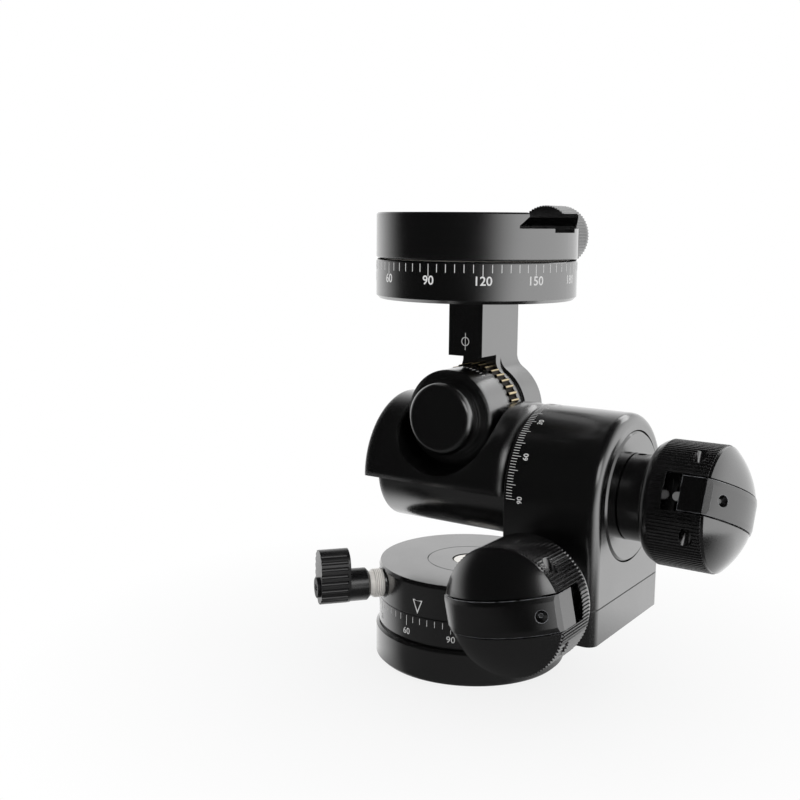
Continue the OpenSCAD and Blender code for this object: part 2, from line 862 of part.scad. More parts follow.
// A spring plunger in the wall of the crank's slot
module detent_bar(r, to) { translate([0, 0, detent_z]) rotate([0, 90, 0]) rod(r, detent_in, to); }

// A radial screw in the hub, near its free end
module grub_place(hub_l) {
    translate([0, 0, grub_back - knob_l - hub_l]) rotate([0, 0, grub_turn]) rotate([0, 90, 0]) children();
}

module knob(hub_l) {
    color("#242426") difference() {
        union() {
            translate([0, 0, knob_round - knob_l]) linear_extrude(knob_l - knob_round - 0.5)
                ribbed_outline(knob_r, rib_depth, knob_ribs);
            rotate_extrude() rounded_section(valley_r, -knob_l, -0.2, knob_round, 0.2);
            rotate_extrude() intersection() {
                bow(0);
                translate([0, -eps]) square([valley_r, dome_h + 2 * eps]);
            }
            rod(hub_r, -knob_l - hub_l, eps - knob_l);
        }
        along_front() linear_extrude(crank_w + 2 * crank_gap, center = true) crank_room();
        crank_pin(crank_pin_r + seat_gap);
        pin_mouths();
        rod(shaft_r + seat_gap, -knob_l - hub_l - eps, knob_bore_end);
        detent_bar(detent_r + seat_gap, crank_leg);
        grub_place(hub_l) rod(grub_r + seat_gap, shaft_r, hub_r + eps);
    }
}

module detent() {
    color("#cfd2d5") detent_bar(detent_r, crank_leg + 0.2);
}

module grub(hub_l) {
    color("#2a2a2c") grub_place(hub_l) difference() {
        rod(grub_r, shaft_r + 0.2, hub_r - 1.5);
        translate([0, 0, hub_r - 3]) cylinder(r = 0.7, h = 3, $fn = 6);
    }
}

module front_shaft() {
    color("#9a9da1") at_drive() rod(shaft_r, 0.5 - worm_rear, front_rim + knob_bore_end);
}

module side_shaft() {
    color("#9a9da1") at_tilt() rod(shaft_r, plug_x + 0.5, side_rim + knob_bore_end);
}

// Both worms are thrown down at the middle, so a valley faces the wheel above
module front_worm() { color("#85888c") at_drive() worm(worm_a_r, -90); }
module side_worm() { color("#85888c") at_tilt() worm(worm_b_r, -90); }

module front_knob() { at_front_knob() knob(front_hub_l); }
module front_knob_grub() { at_front_knob() grub(front_hub_l); }
module front_crank_pin() { color("#b8bbbf") at_front_knob() crank_pin(crank_pin_r); }
module front_detent() { at_front_knob() detent(); }
module front_crank() { at_front_knob() crank(); }

module side_knob() { at_side_knob() knob(side_hub_l); }
module side_knob_grub() { at_side_knob() grub(side_hub_l); }
module side_crank_pin() { color("#b8bbbf") at_side_knob() crank_pin(crank_pin_r); }
module side_detent() { at_side_knob() detent(); }
module side_crank() { at_side_knob() crank(); }

// Neck

// Front view of the neck's rear part: a disc and a plate joined by hollow roundings
module neck_outline(disc_r) {
    half = neck_w / 2;
    round_x = half + neck_round;
    round_y = sqrt(pow(disc_r + neck_round, 2) - pow(round_x, 2));
    share = disc_r / (disc_r + neck_round);
    circle(disc_r, $fn = 96);
    translate([-half, 0]) square([neck_w, neck_rise]);
    for (side = [-1, 1]) difference() {
        polygon([[0, 0], [side * round_x * share, round_y * share], [side * half, round_y], [0, round_y]]);
        translate([side * round_x, round_y]) circle(neck_round);
    }
}

// Two screws that hold the scale disc on the neck, their origin at the neck's top
module neck_screw_places() {
    for (side = [-1, 1]) translate([side * neck_screw_x, neck_back - neck_screw_inset, z_disc]) children();
}

module neck() {
    color("#1b1b1d") difference() {
        union() {
            // the wide disc ends behind the worm, and a narrower web reaches the wheel
            at_neck() translate([0, 0, -neck_back]) linear_extrude(neck_back - web_rear)
                neck_outline(neck_disc_r);
            at_neck() translate([0, 0, -web_rear - eps]) linear_extrude(web_rear + eps - wheel_rear)
                neck_outline(web_r);
            translate([-neck_w / 2, -neck_front, z_lip])
                cube([neck_w, neck_front + wheel_rear + eps, z_disc - z_lip]);
        }
        at_neck() rod(neck_bush_r + seat_gap, -neck_back - eps, -wheel_rear + eps);
        rod(pivot_stud_r + seat_gap, z_disc - pivot_stud_in - screw_end_gap, z_disc + eps);
        neck_screw_places() rod(neck_screw_r + seat_gap, -neck_screw_bite - screw_end_gap, eps);
    }
}

module neck_wheel() {
    color("#b58a3c") at_neck() translate([0, 0, -wheel_rear]) linear_extrude(wheel_rear - wheel_front)
        difference() {
            wheel_outline(wheel_b_r, tooth_e, wheel_b_teeth);
            circle(neck_bush_r + seat_gap);
        }
}

module neck_bush() {
    color("#b08d57") at_neck() tube(neck_bush_r, axle_r + run_gap, -neck_back, -wheel_front);
}

module neck_screws() {
    color("#a9acb0") neck_screw_places() translate([0, 0, neck_screw_floor])
        cap_screw(neck_screw_r, neck_screw_floor + neck_screw_bite, neck_screw_head_r,
            neck_screw_head_h, 1.2);
}

// Panning clamp

module clamp_scale_disc() {
    color("#1b1b1d") difference() {
        rotate_extrude() bevelled_section(clamp_r, z_disc, z_disc_top, 1, 0.4);
        rod(pivot_stud_r + seat_gap, z_disc - eps, z_disc_top);
        rod(pivot_r + seat_gap, z_disc + 3, z_disc_top + eps);
        neck_screw_places() {
            rod(neck_screw_r + seat_gap, -eps, scale_disc_h);
            rod(neck_screw_head_r + seat_gap, neck_screw_floor, scale_disc_h + eps);
        }
    }
}

module clamp_pivot() {
    color("#b8bbbf") difference() {
        union() {
            rod(pivot_stud_r, z_disc - pivot_stud_in, z_disc_top);
            rod(pivot_r, z_disc + 3, z_pivot_head + pivot_head_h / 2);
            rod(pivot_head_r, z_pivot_head, z_pivot_head + pivot_head_h);
        }
        translate([0, 0, z_pivot_head + 0.8]) cylinder(r = 3, h = pivot_head_h, $fn = 6);
    }
}

module clamp_washer() {
    color("#101011") tube(clamp_r - 2.5, neck_back + neck_screw_head_r, z_disc_top, z_clamp);
}

// End view of the groove under the fixed jaw, and of the ledge for the moving one
module groove_outline() {
    lip = jaw_lip - groove_half;
    polygon([[-groove_half, z_floor], [-groove_half, z_floor + jaw_heel],
        [lip, z_floor + jaw_heel + jaw_lip], [lip, z_clamp_top + eps],
        [2 * clamp_r, z_clamp_top + eps], [2 * clamp_r, z_jaw], [jaw_face, z_jaw], [jaw_face, z_floor]]);
}

// A bar along X with the given end view, right across the clamp
module across() { along_x() translate([0, 0, -2 * clamp_r]) linear_extrude(4 * clamp_r) children(); }

module clamp_base() {
    channel = 1.2;
    channel_front = -7;
    channel_rear = 5.4;
    color("#1b1b1d") difference() {
        rotate_extrude() bevelled_section(clamp_r, z_clamp, z_clamp_top, 0.4, 0.5);
        across() groove_outline();
        across() translate([channel_front, z_floor - channel])
            square([channel_rear - channel_front, channel + eps]);
        rod(pivot_r + run_gap, z_clamp - eps, z_floor);
        rod(pivot_head_r + 0.4, z_pivot_head - face_gap, z_floor + eps);
        at_screw() rod(clamp_screw_r + run_gap, clamp_screw_in - 0.5, jaw_face + eps);
        for (x = [-guide_x, guide_x]) at_screw(x) rod(guide_r + seat_gap, clamp_screw_in, jaw_face + eps);
    }
}

module clamp_guides() {
    color("#b8bbbf") for (x = [-guide_x, guide_x]) at_screw(x) rod(guide_r, clamp_screw_in, guide_end);
}

// End view of the moving jaw
module jaw_outline() {
    low = z_jaw + 0.2;
    face = jaw_face + face_gap;
    floor_gap = z_floor + face_gap;
    lip = groove_half - jaw_lip;
    polygon([[face, low], [face, floor_gap], [groove_half, floor_gap], [groove_half, z_floor + jaw_heel],
        [lip, z_floor + jaw_heel + jaw_lip], [lip, z_clamp_top], [2 * clamp_r, z_clamp_top],
        [2 * clamp_r, low]]);
}

module clamp_jaw() {
    color("#1f1f21") difference() {
        union() {
            intersection() {
                rotate_extrude() bevelled_section(clamp_r, z_jaw, z_clamp_top, 0.1, 0.5);
                across() jaw_outline();
            }
            translate([-jaw_block_w / 2, jaw_face + 4, z_jaw + 0.2])
                cube([jaw_block_w, jaw_back - jaw_face - 4, z_clamp_top - z_jaw - 2.2]);
        }
        at_screw() rod(clamp_screw_r + face_gap, 0, jaw_back + eps);
        for (x = [-guide_x, guide_x]) at_screw(x) rod(guide_r + run_gap, 0, guide_end + 0.5);
    }
}

module clamp_screw() {
    color("#b8bbbf") at_screw() rod(clamp_screw_r, clamp_screw_in, clamp_screw_end);
}

module clamp_knob() {
    color("#242426") at_screw() difference() {
        union() {
            translate([0, 0, clamp_knob_y]) linear_extrude(clamp_knob_l - clamp_knob_edge)
                ribbed_outline(clamp_knob_r, rib_depth, 60);
            rod(clamp_screw_r + 3, jaw_back + 0.5, clamp_knob_y + eps);
            rotate_extrude() translate([0, clamp_knob_y])
                rounded_section(clamp_knob_r - rib_depth, 0.2, clamp_knob_l, 0.3, clamp_knob_edge);
        }
        rod(clamp_screw_r + seat_gap, 0, clamp_screw_end);
    }
}

base_drum();
pan_scale_ring();
tripod_insert();
pan_post();
pan_bolt();
thrust_washer();
base_screws();
platform();
platform_cap();
pan_bush();
brake_shoe();
upright();
upright_screws();
spindle_bush();
worm_bush_front();
worm_bush_rear();
pan_lock_lever();
pan_lock_stud();
pan_lock_screw();
cradle();
spindle();
tilt_wheel();
end_disc();
shaft_bush_inner();
shaft_bush_outer();
bearing_plug();
pivot_axle();
pivot_cap_front();
pivot_cap_rear();
front_shaft();
front_worm();
front_knob();
front_knob_grub();
front_crank_pin();
front_detent();
front_crank();
side_shaft();
side_worm();
side_knob();
side_knob_grub();
side_crank_pin();
side_detent();
side_crank();
neck();
neck_wheel();
neck_bush();
clamp_scale_disc();
neck_screws();
clamp_pivot();
clamp_washer();
clamp_base();
clamp_guides();
clamp_jaw();
clamp_screw();
clamp_knob();
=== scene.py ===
"""Looks of the geared tripod head: its finishes, engraved scales, threads, studio and camera."""

import logging
import math
from dataclasses import dataclass, field, replace
from enum import Enum
from functools import cache
from typing import Callable

import bpy
import numpy as np
from mathutils import Matrix


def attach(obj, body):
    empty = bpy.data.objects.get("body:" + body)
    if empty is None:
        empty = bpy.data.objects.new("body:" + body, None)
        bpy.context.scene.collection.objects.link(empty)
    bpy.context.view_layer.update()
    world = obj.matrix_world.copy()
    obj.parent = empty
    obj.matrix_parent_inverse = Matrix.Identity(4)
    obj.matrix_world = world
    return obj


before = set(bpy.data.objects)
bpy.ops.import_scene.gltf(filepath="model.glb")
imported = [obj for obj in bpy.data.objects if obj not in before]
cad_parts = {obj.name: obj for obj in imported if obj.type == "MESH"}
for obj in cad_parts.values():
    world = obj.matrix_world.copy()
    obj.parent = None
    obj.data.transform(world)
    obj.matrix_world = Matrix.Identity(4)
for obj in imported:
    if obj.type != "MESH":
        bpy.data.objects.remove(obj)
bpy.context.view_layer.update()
LOG = logging.getLogger("tripod_head")
MM = 0.001
FULL_TURN = 2 * math.pi

Vec3 = tuple[float, float, float]
Placer = Callable[[np.ndarray, float], np.ndarray]
Tree = bpy.types.NodeTree
Node = bpy.types.Node
Socket = bpy.types.NodeSocket


def add_node(tree: Tree, kind: str, values: dict | None = None, operation: str = "") -> Node:
    """Add a shader node and set it up.

    Args:
        tree: The tree that gets the node.
        kind: Node type, without its leading ShaderNode.
        values: Input socket, by name or number, to its value.
        operation: What a Math or Vector Math node works out.

    Returns:
        The node.
    """
    made = tree.nodes.new(f"ShaderNode{kind}")
    if operation:
        made.operation = operation
    for socket, value in (values or {}).items():
        made.inputs[socket].default_value = value
    return made


def add_ramp(tree: Tree, start: float, end: float, low: float = 0.0, high: float = 1.0) -> Node:
    """Add a clamped ramp from one value to another.

    Args:
        tree: The tree that gets the node.
        start: Input where the ramp starts.
        end: Input where the ramp ends.
        low: Output at the start.
        high: Output at the end.

    Returns:
        The Map Range node.
    """
    span = {"From Min": start, "From Max": end, "To Min": low, "To Max": high}
    return add_node(tree, "MapRange", span)


def add_group(tree: Tree, effect: Tree, values: dict[str, float]) -> Node:
    """Place a shared effect with its own values.

    Args:
        tree: The tree that gets the node.
        effect: The node group to place.
        values: Socket name to value.

    Returns:
        The placed node.
    """
    placed = add_node(tree, "Group")
    placed.node_tree = effect
    for label, value in values.items():
        placed.inputs[label].default_value = value
    return placed


def wire(tree: Tree, *pairs: tuple[Socket, Socket]) -> None:
    """Link sockets. A later link takes the place of an earlier one at the same input.

    Args:
        tree: The tree that holds the sockets.
        pairs: Output socket and input socket of each link.
    """
    for source, goal in pairs:
        tree.links.new(source, goal)


class TurnAxis(Enum):
    """Axis that a piece was turned about on the lathe."""

    NONE = "none"
    PAN = "pan"
    TILT = "tilt"
    PIVOT = "pivot"
    FRONT_DRIVE = "front_drive"
    CLAMP_SCREW = "clamp_screw"
    LOCK = "lock"

    def place(self) -> tuple[Vec3, Vec3]:
        """Look up where the axis lies.

        Returns:
            A centre in metres, and the Euler turn that lays Z along the axis. NONE has neither.
        """
        quarter = FULL_TURN / 4
        places = {
            TurnAxis.PAN: ((0, 0, 0), (0, 0, 0)),
            TurnAxis.TILT: ((0, 0, 0.0606), (0, quarter, 0)),
            TurnAxis.PIVOT: ((0, 0, 0.08075), (quarter, 0, 0)),
            TurnAxis.FRONT_DRIVE: ((0.0393, 0, 0.0357), (quarter, 0, 0)),
            TurnAxis.CLAMP_SCREW: ((0, 0, 0.1362), (quarter, 0, 0)),
            TurnAxis.LOCK: ((0, 0, 0.0258), (0, quarter, math.radians(-130))),
        }
        return places[self]


class Effects:
    """Shader node groups that several finishes share, each built once."""

    VECTOR = "NodeSocketVector"
    VALUE = "NodeSocketFloat"
    # Lean of the rounded normal from the true one, as a cosine, where the edge mask starts and is
    # full
    WEAR_LEAN = (0.995, 0.86)
    # Part of the scuffs' noise that marks an edge: rubbed finish, and on the crank a painted
    # highlight
    SCUFF_SPAN = (0.32, 0.72)
    SCUFF_SCALE = 420.0
    # How far below and above the crest's radius the painted shade in the valleys fades out
    CREST_SPAN = (-0.2 * MM, 0.1 * MM)
    # Each bright side of the studio: its direction, and the lean where it starts and is full
    GLOW_SIDES = (((0.766, 0.643, -0.6), -0.15, 0.75), ((-0.5, 0.866, -0.6), 0.03, 0.92))
    GLOW_LEAST = 0.012

    @staticmethod
    def start(name: str, inputs: dict[str, str], outputs: dict[str, str]) -> tuple:
        """Open an empty node group with named sockets.

        Args:
            name: Name of the group.
            inputs: Socket name to socket type.
            outputs: Socket name to socket type.

        Returns:
            The group, the sockets that bring values in, and the sockets that take results out.
        """
        tree = bpy.data.node_groups.new(name, "ShaderNodeTree")
        for way, sockets in (("INPUT", inputs), ("OUTPUT", outputs)):
            for label, kind in sockets.items():
                tree.interface.new_socket(name=label, in_out=way, socket_type=kind)
        entry = tree.nodes.new("NodeGroupInput")
        leave = tree.nodes.new("NodeGroupOutput")
        return tree, entry.outputs, leave.inputs

    @staticmethod
    def reach(tree: Tree, place: Socket) -> Socket:
        """Measure how far a place is from the Z axis: the length of its X and Y.

        Args:
            tree: The tree that gets the nodes.
            place: The place's socket.

        Returns:
            The distance's socket.
        """
        flat = add_node(tree, "VectorMath", {1: (1.0, 1.0, 0.0)}, "MULTIPLY")
        length = add_node(tree, "VectorMath", operation="LENGTH")
        wire(tree, (place, flat.inputs[0]), (flat.outputs[0], length.inputs[0]))
        return length.outputs["Value"]

    @classmethod
    @cache
    def grain(cls) -> Tree:
        """Build the blasted grain: fine pits as a height, and slow clouds as a mottle.

        Returns:
            The group, with Height and Mottle outputs from 0 to 1.
        """
        tree, entry, leave = cls.start(
            "blasted_grain",
            {"Vector": cls.VECTOR, "Scale": cls.VALUE, "Cloud": cls.VALUE},
            {"Height": cls.VALUE, "Mottle": cls.VALUE},
        )
        for size, detail, way in (("Scale", 2.0, "Height"), ("Cloud", 4.0, "Mottle")):
            noise = add_node(tree, "TexNoise", {"Detail": detail})
            wire(
                tree,
                (entry["Vector"], noise.inputs["Vector"]),
                (entry[size], noise.inputs["Scale"]),
                (noise.outputs[0], leave[way]),
            )
        return tree

    @classmethod
    @cache
    def turning(cls) -> Tree:
        """Build the lathe lines: noise of the distance from the axis and the place along it.

        Returns:
            The group, with a Height output that is the same all round the axis.
        """
        tree, entry, leave = cls.start(
            "turned_lines", {"Vector": cls.VECTOR, "Lines": cls.VALUE}, {"Height": cls.VALUE}
        )
        split = add_node(tree, "SeparateXYZ")
        line = add_node(tree, "CombineXYZ")
        noise = add_node(tree, "TexNoise", {"Detail": 3.0})
        wire(
            tree,
            (entry["Vector"], split.inputs[0]),
            (cls.reach(tree, entry["Vector"]), line.inputs["X"]),
            (split.outputs["Z"], line.inputs["Y"]),
            (line.outputs[0], noise.inputs["Vector"]),
            (entry["Lines"], noise.inputs["Scale"]),
            (noise.outputs[0], leave["Height"]),
        )
        return tree

    @classmethod
    @cache
    def edges(cls) -> Tree:
        """Build the edge mask: a rounded normal, and a scuffed mask where it leaves the true one.
        The mask marks rubbed edges, and on the crank it paints highlights on the edges.

        Returns:
            The group, with a Mask output from 0 to Amount and a Normal output.
        """
        tree, entry, leave = cls.start(
            "edge_wear_and_highlight",
            {"Vector": cls.VECTOR, "Radius": cls.VALUE, "Amount": cls.VALUE},
            {"Mask": cls.VALUE, "Normal": cls.VECTOR},
        )
        bevel = add_node(tree, "Bevel")
        bevel.samples = 4
        true = add_node(tree, "NewGeometry")
        lean = add_node(tree, "VectorMath", operation="DOT_PRODUCT")
        away = add_ramp(tree, *cls.WEAR_LEAN)
        scuff = add_node(tree, "TexNoise", {"Scale": cls.SCUFF_SCALE, "Detail": 4.0})
        rub = add_ramp(tree, *cls.SCUFF_SPAN)
        worn_and_highlight = add_node(tree, "Math", operation="MULTIPLY")
        mask = add_node(tree, "Math", operation="MULTIPLY")
        wire(
            tree,
            (entry["Radius"], bevel.inputs["Radius"]),
            (bevel.outputs[0], lean.inputs[0]),
            (true.outputs["Normal"], lean.inputs[1]),
            (lean.outputs["Value"], away.inputs["Value"]),
            (entry["Vector"], scuff.inputs["Vector"]),
            (scuff.outputs[0], rub.inputs["Value"]),
            (away.outputs[0], worn_and_highlight.inputs[0]),
            (rub.outputs[0], worn_and_highlight.inputs[1]),
            (worn_and_highlight.outputs[0], mask.inputs[0]),
            (entry["Amount"], mask.inputs[1]),
            (mask.outputs[0], leave["Mask"]),
            (bevel.outputs[0], leave["Normal"]),
        )
        return tree

    @classmethod
    @cache
    def crests(cls) -> Tree:
        """Build the mask of crests clear of painted shade: 1 beyond a radius about the axis, 0 in
        the valleys, which get painted shade.

        Returns:
            The group, with a Mask output from 0 to 1.
        """
        tree, entry, leave = cls.start(
            "tooth_crests", {"Vector": cls.VECTOR, "Radius": cls.VALUE}, {"Mask": cls.VALUE}
        )
        past = add_node(tree, "Math", operation="SUBTRACT")
        ramp = add_ramp(tree, *cls.CREST_SPAN)
        ramp.interpolation_type = "SMOOTHSTEP"
        wire(
            tree,
            (cls.reach(tree, entry["Vector"]), past.inputs[0]),
            (entry["Radius"], past.inputs[1]),
            (past.outputs[0], ramp.inputs["Value"]),
            (ramp.outputs[0], leave["Mask"]),
        )
        return tree

    @classmethod
    @cache
    def band(cls) -> Tree:
        """Build the mask of the faces in a gap, which get painted shade: 1 between two levels along
        Z, 0 elsewhere.

        Returns:
            The group, with a Mask output of 0 or 1.
        """
        tree, entry, leave = cls.start(
            "level_band",
            {"Vector": cls.VECTOR, "Low": cls.VALUE, "High": cls.VALUE},
            {"Mask": cls.VALUE},
        )
        split = add_node(tree, "SeparateXYZ")
        both = add_node(tree, "Math", operation="MULTIPLY")
        wire(tree, (entry["Vector"], split.inputs[0]), (both.outputs[0], leave["Mask"]))
        for slot, (operation, limit) in enumerate((("GREATER_THAN", "Low"), ("LESS_THAN", "High"))):
            test = add_node(tree, "Math", operation=operation)
            wire(
                tree,
                (split.outputs["Z"], test.inputs[0]),
                (entry[limit], test.inputs[1]),
                (test.outputs[0], both.inputs[slot]),
            )
        return tree

    @classmethod
    @cache
    def glow(cls) -> Tree:
        """Build the studio's glow: white to the back right and back left, dark ahead and above.

        Returns:
            The group, with a Strength output from nearly 0 to 1 for a direction.
        """
        tree, entry, leave = cls.start(
            "studio_glow", {"Vector": cls.VECTOR}, {"Strength": cls.VALUE}
        )
        unit = add_node(tree, "VectorMath", operation="NORMALIZE")
        most = add_node(tree, "Math", operation="MAXIMUM")
        wire(tree, (entry["Vector"], unit.inputs[0]), (most.outputs[0], leave["Strength"]))
        for slot, (way, start, full) in enumerate(cls.GLOW_SIDES):
            lean = add_node(tree, "VectorMath", {1: way}, "DOT_PRODUCT")
            ramp = add_ramp(tree, start, full, cls.GLOW_LEAST)
            ramp.interpolation_type = "SMOOTHSTEP"
            wire(
                tree,
                (unit.outputs[0], lean.inputs[0]),
                (lean.outputs["Value"], ramp.inputs["Value"]),
                (ramp.outputs[0], most.inputs[slot]),
            )
        return tree


# Numbers of a Mix node's colour sockets
MIX_UNDER, MIX_OVER, MIX_RESULT = 6, 7, 2
COAT_ROUGHNESS = 0.12
BUMP_DEPTH = 0.05 * MM
LATHE_LINES = 3600.0
MOTTLE_SPAN = (0.3, 0.7)
# Dark colour painted into the valleys of teeth and threads: painted shade
VALLEY_SHADE = (0.012, 0.007, 0.003)


@dataclass(frozen=True)
class Finish:
    """One finish: its colours, gloss, grain, lathe lines, rubbed edges, painted edge highlights on
    the crank, and painted shade in valleys and in a gap.

    The edge's radius, the crest's radius below which the valleys get painted shade, and the levels
    of the matt band, which gets painted shade, are in millimetres.
    """

    name: str
    colour: Vec3
    # Edge colour: rubbed finish, and on the crank a painted highlight
    worn_and_highlight: Vec3
    roughness: tuple[float, float]
    metallic: float = 0.0
    specular: float = 0.5
    ior: float = 1.5
    grain: float = 5200.0
    cloud: float = 90.0
    relief: float = 0.10
    lines: float = 0.0
    # How strongly the edge colour is laid on: rubbing, and on the crank painted highlights
    wear_and_highlight: float = 0.5
    edge: float = 0.15
    coat: float = 0.0
    crest: float = 0.0
    matt: tuple[float, float] = (0.0, 0.0)

    def material(self, axis: TurnAxis = TurnAxis.NONE) -> bpy.types.Material:
        """Make the finish as a material, once for each axis.

        Args:
            axis: The axis that the lathe lines run round.

        Returns:
            The material.
        """
        label = f"{self.name}_{axis.value}"
        if label in bpy.data.materials:
            return bpy.data.materials[label]
        made = bpy.data.materials.new(label)
        made.use_nodes = True
        tree = made.node_tree
        tree.nodes.clear()
        out = add_node(tree, "OutputMaterial")
        gloss_values = {
            "Metallic": self.metallic,
            "Specular IOR Level": self.specular,
            "IOR": self.ior,
            "Coat Weight": self.coat,
            "Coat Roughness": COAT_ROUGHNESS,
        }
        shader = add_node(tree, "BsdfPrincipled", gloss_values)
        where = add_node(tree, "TexCoord").outputs["Object"]
        grain = add_group(tree, Effects.grain(), {"Scale": self.grain, "Cloud": self.cloud})
        edge_values = {"Radius": self.edge * MM, "Amount": self.wear_and_highlight}
        edges = add_group(tree, Effects.edges(), edge_values)
        gloss = add_ramp(tree, *MOTTLE_SPAN, *self.roughness)
        tint = self.mix(tree, self.colour)
        tint.inputs[MIX_OVER].default_value = (*self.worn_and_highlight, 1)
        pits = add_node(tree, "Bump", {"Strength": self.relief, "Distance": BUMP_DEPTH})
        wire(
            tree,
            (where, grain.inputs["Vector"]),
            (where, edges.inputs["Vector"]),
            (grain.outputs["Mottle"], gloss.inputs["Value"]),
            (edges.outputs["Mask"], tint.inputs[0]),
            (grain.outputs["Height"], pits.inputs["Height"]),
            (edges.outputs["Normal"], pits.inputs["Normal"]),
            (tint.outputs[MIX_RESULT], shader.inputs["Base Color"]),
            (gloss.outputs[0], shader.inputs["Roughness"]),
            (pits.outputs[0], shader.inputs["Normal"]),
            (shader.outputs[0], out.inputs["Surface"]),
        )
        # The faces inside the gap get painted shade
        if self.matt[1] > self.matt[0]:
            self.shade_gap(tree, shader, where, gloss.outputs[0])
        if self.lines > 0 and axis is not TurnAxis.NONE:
            laid = self.lathe(tree, shader, where, pits.outputs[0], axis)
            # Valleys below the crest's radius get painted shade
            if self.crest > 0:
                self.shade_valleys(tree, shader, laid, tint.outputs[MIX_RESULT])
        return made

    @staticmethod
    def mix(tree: Tree, under: Vec3) -> Node:
        """Add a colour Mix node.

        Args:
            tree: The material's tree.
            under: The colour that shows where the factor is 0.

        Returns:
            The node.
        """
        made = add_node(tree, "Mix")
        made.data_type = "RGBA"
        made.inputs[MIX_UNDER].default_value = (*under, 1)
        return made

    def shade_gap(self, tree: Tree, shader: Node, where: Socket, gloss: Socket) -> None:
        """Paint shade on the faces inside the gap between the scale disc and the clamp: in the band
        they turn fully rough, lose the coat and become black metal, so they go dark.

        Args:
            tree: The material's tree.
            shader: The Principled node.
            where: Object coordinates.
            gloss: The roughness outside the band.
        """
        low, high = (level * MM for level in self.matt)
        band = add_group(tree, Effects.band(), {"Low": low, "High": high})
        rough = add_node(tree, "Math", operation="MAXIMUM")
        coat = add_ramp(tree, 0.0, 1.0, self.coat, 0.0)
        mask = band.outputs["Mask"]
        wire(
            tree,
            (where, band.inputs["Vector"]),
            (gloss, rough.inputs[0]),
            (mask, rough.inputs[1]),
            (mask, coat.inputs["Value"]),
            (mask, shader.inputs["Metallic"]),
            (rough.outputs[0], shader.inputs["Roughness"]),
            (coat.outputs[0], shader.inputs["Coat Weight"]),
        )

    def lathe(
        self, tree: Tree, shader: Node, where: Socket, normal: Socket, axis: TurnAxis
    ) -> Socket:
        """Cut the lathe lines round the axis.

        Args:
            tree: The material's tree.
            shader: The Principled node.
            where: Object coordinates.
            normal: The normal that the lines are cut into.
            axis: The lathe's axis.

        Returns:
            Coordinates whose Z lies along the axis.
        """
        centre, turn = axis.place()
        lay = add_node(tree, "Mapping")
        lay.vector_type = "TEXTURE"
        lay.inputs["Location"].default_value = centre
        lay.inputs["Rotation"].default_value = turn
        rings = add_group(tree, Effects.turning(), {"Lines": LATHE_LINES})
        cut = add_node(tree, "Bump", {"Strength": self.lines, "Distance": BUMP_DEPTH})
        wire(
            tree,
            (where, lay.inputs["Vector"]),
            (lay.outputs[0], rings.inputs["Vector"]),
            (rings.outputs["Height"], cut.inputs["Height"]),
            (normal, cut.inputs["Normal"]),
            (cut.outputs[0], shader.inputs["Normal"]),
        )
        return lay.outputs[0]

    def shade_valleys(self, tree: Tree, shader: Node, laid: Socket, hue: Socket) -> None:
        """Paint shade into the valleys below the crest's radius: a dark colour that stands in for
        the shade between teeth and between thread turns.

        Args:
            tree: The material's tree.
            shader: The Principled node.
            laid: Coordinates whose Z lies along the axis.
            hue: The colour of the crests, outside the painted shade.
        """
        crests_unshaded = add_group(tree, Effects.crests(), {"Radius": self.crest * MM})
        valley_shaded = self.mix(tree, VALLEY_SHADE)
        wire(
            tree,
            (laid, crests_unshaded.inputs["Vector"]),
            (crests_unshaded.outputs["Mask"], valley_shaded.inputs[0]),
            (hue, valley_shaded.inputs[MIX_OVER]),
            (valley_shaded.outputs[MIX_RESULT], shader.inputs["Base Color"]),
        )


BLACK = (0.0015, 0.0015, 0.0016)
RUBBED = (0.03, 0.03, 0.032)
WHITE = (0.74, 0.74, 0.73)
BODY = Finish(
    "satin_black", BLACK, RUBBED, (0.20, 0.27), specular=1.0, ior=2.1, lines=0.06, coat=0.8
)
# The faces in the gap between the scale disc and the clamp get painted shade
DISC_WITH_GAP_SHADE = replace(BODY, name="disc_black_gap_shade", matt=(129.05, 129.7))
CASTING = replace(BODY, name="cast_black", worn_and_highlight=BLACK, lines=0.0, wear_and_highlight=0.0, edge=2.6)
KNOB = Finish(
    "knob_black", BLACK, (0.07, 0.07, 0.072), (0.18, 0.25),
    specular=1.0, ior=2.0, lines=0.05, coat=0.8,
)
# Its light grey edge colour, laid on strongly, paints highlights on the crank's edges
CRANK = Finish(
    "crank_black", BLACK, (0.34, 0.35, 0.37), (0.18, 0.26),
    specular=1.0, ior=1.8, wear_and_highlight=2.5, edge=0.3, coat=0.4,
)
LEVER = Finish(
    "lever_black", (0.008, 0.008, 0.0085), (0.10, 0.10, 0.104), (0.24, 0.32),
    specular=0.85, ior=1.8, lines=0.05,
)
PIN = Finish("pin_black", BLACK, RUBBED, (0.45, 0.60), specular=0.2)
# Near-white colour with little metal on the detent: a painted glint, standing in for chrome's
# bright reflection
CHROME_PAINTED_GLINT = Finish(
    "chrome_painted_glint", (0.93, 0.93, 0.92), (0.95, 0.95, 0.94), (0.10, 0.16),
    metallic=0.2, specular=1.0, ior=2.4, relief=0.02,
)
# Near-white colour with little metal: steel's pale tone, with painted reflection standing in for
# the bright surroundings that polished steel mirrors
STEEL_PAINTED_REFLECTION = Finish(
    "steel_painted_reflection", (0.95, 0.92, 0.87), (0.97, 0.95, 0.91), (0.30, 0.40),
    metallic=0.1, grain=2600.0, lines=0.16,
)
BOLT = replace(STEEL_PAINTED_REFLECTION, name="bolt_steel", metallic=1.0, roughness=(0.16, 0.24))
# The stud's thread valleys below the crest's radius get painted shade
STUD = replace(STEEL_PAINTED_REFLECTION, name="stud_steel", crest=4.46)
DARK_STEEL = Finish(
    "black_steel", (0.05, 0.05, 0.052), (0.22, 0.22, 0.22), (0.34, 0.46), metallic=0.8
)
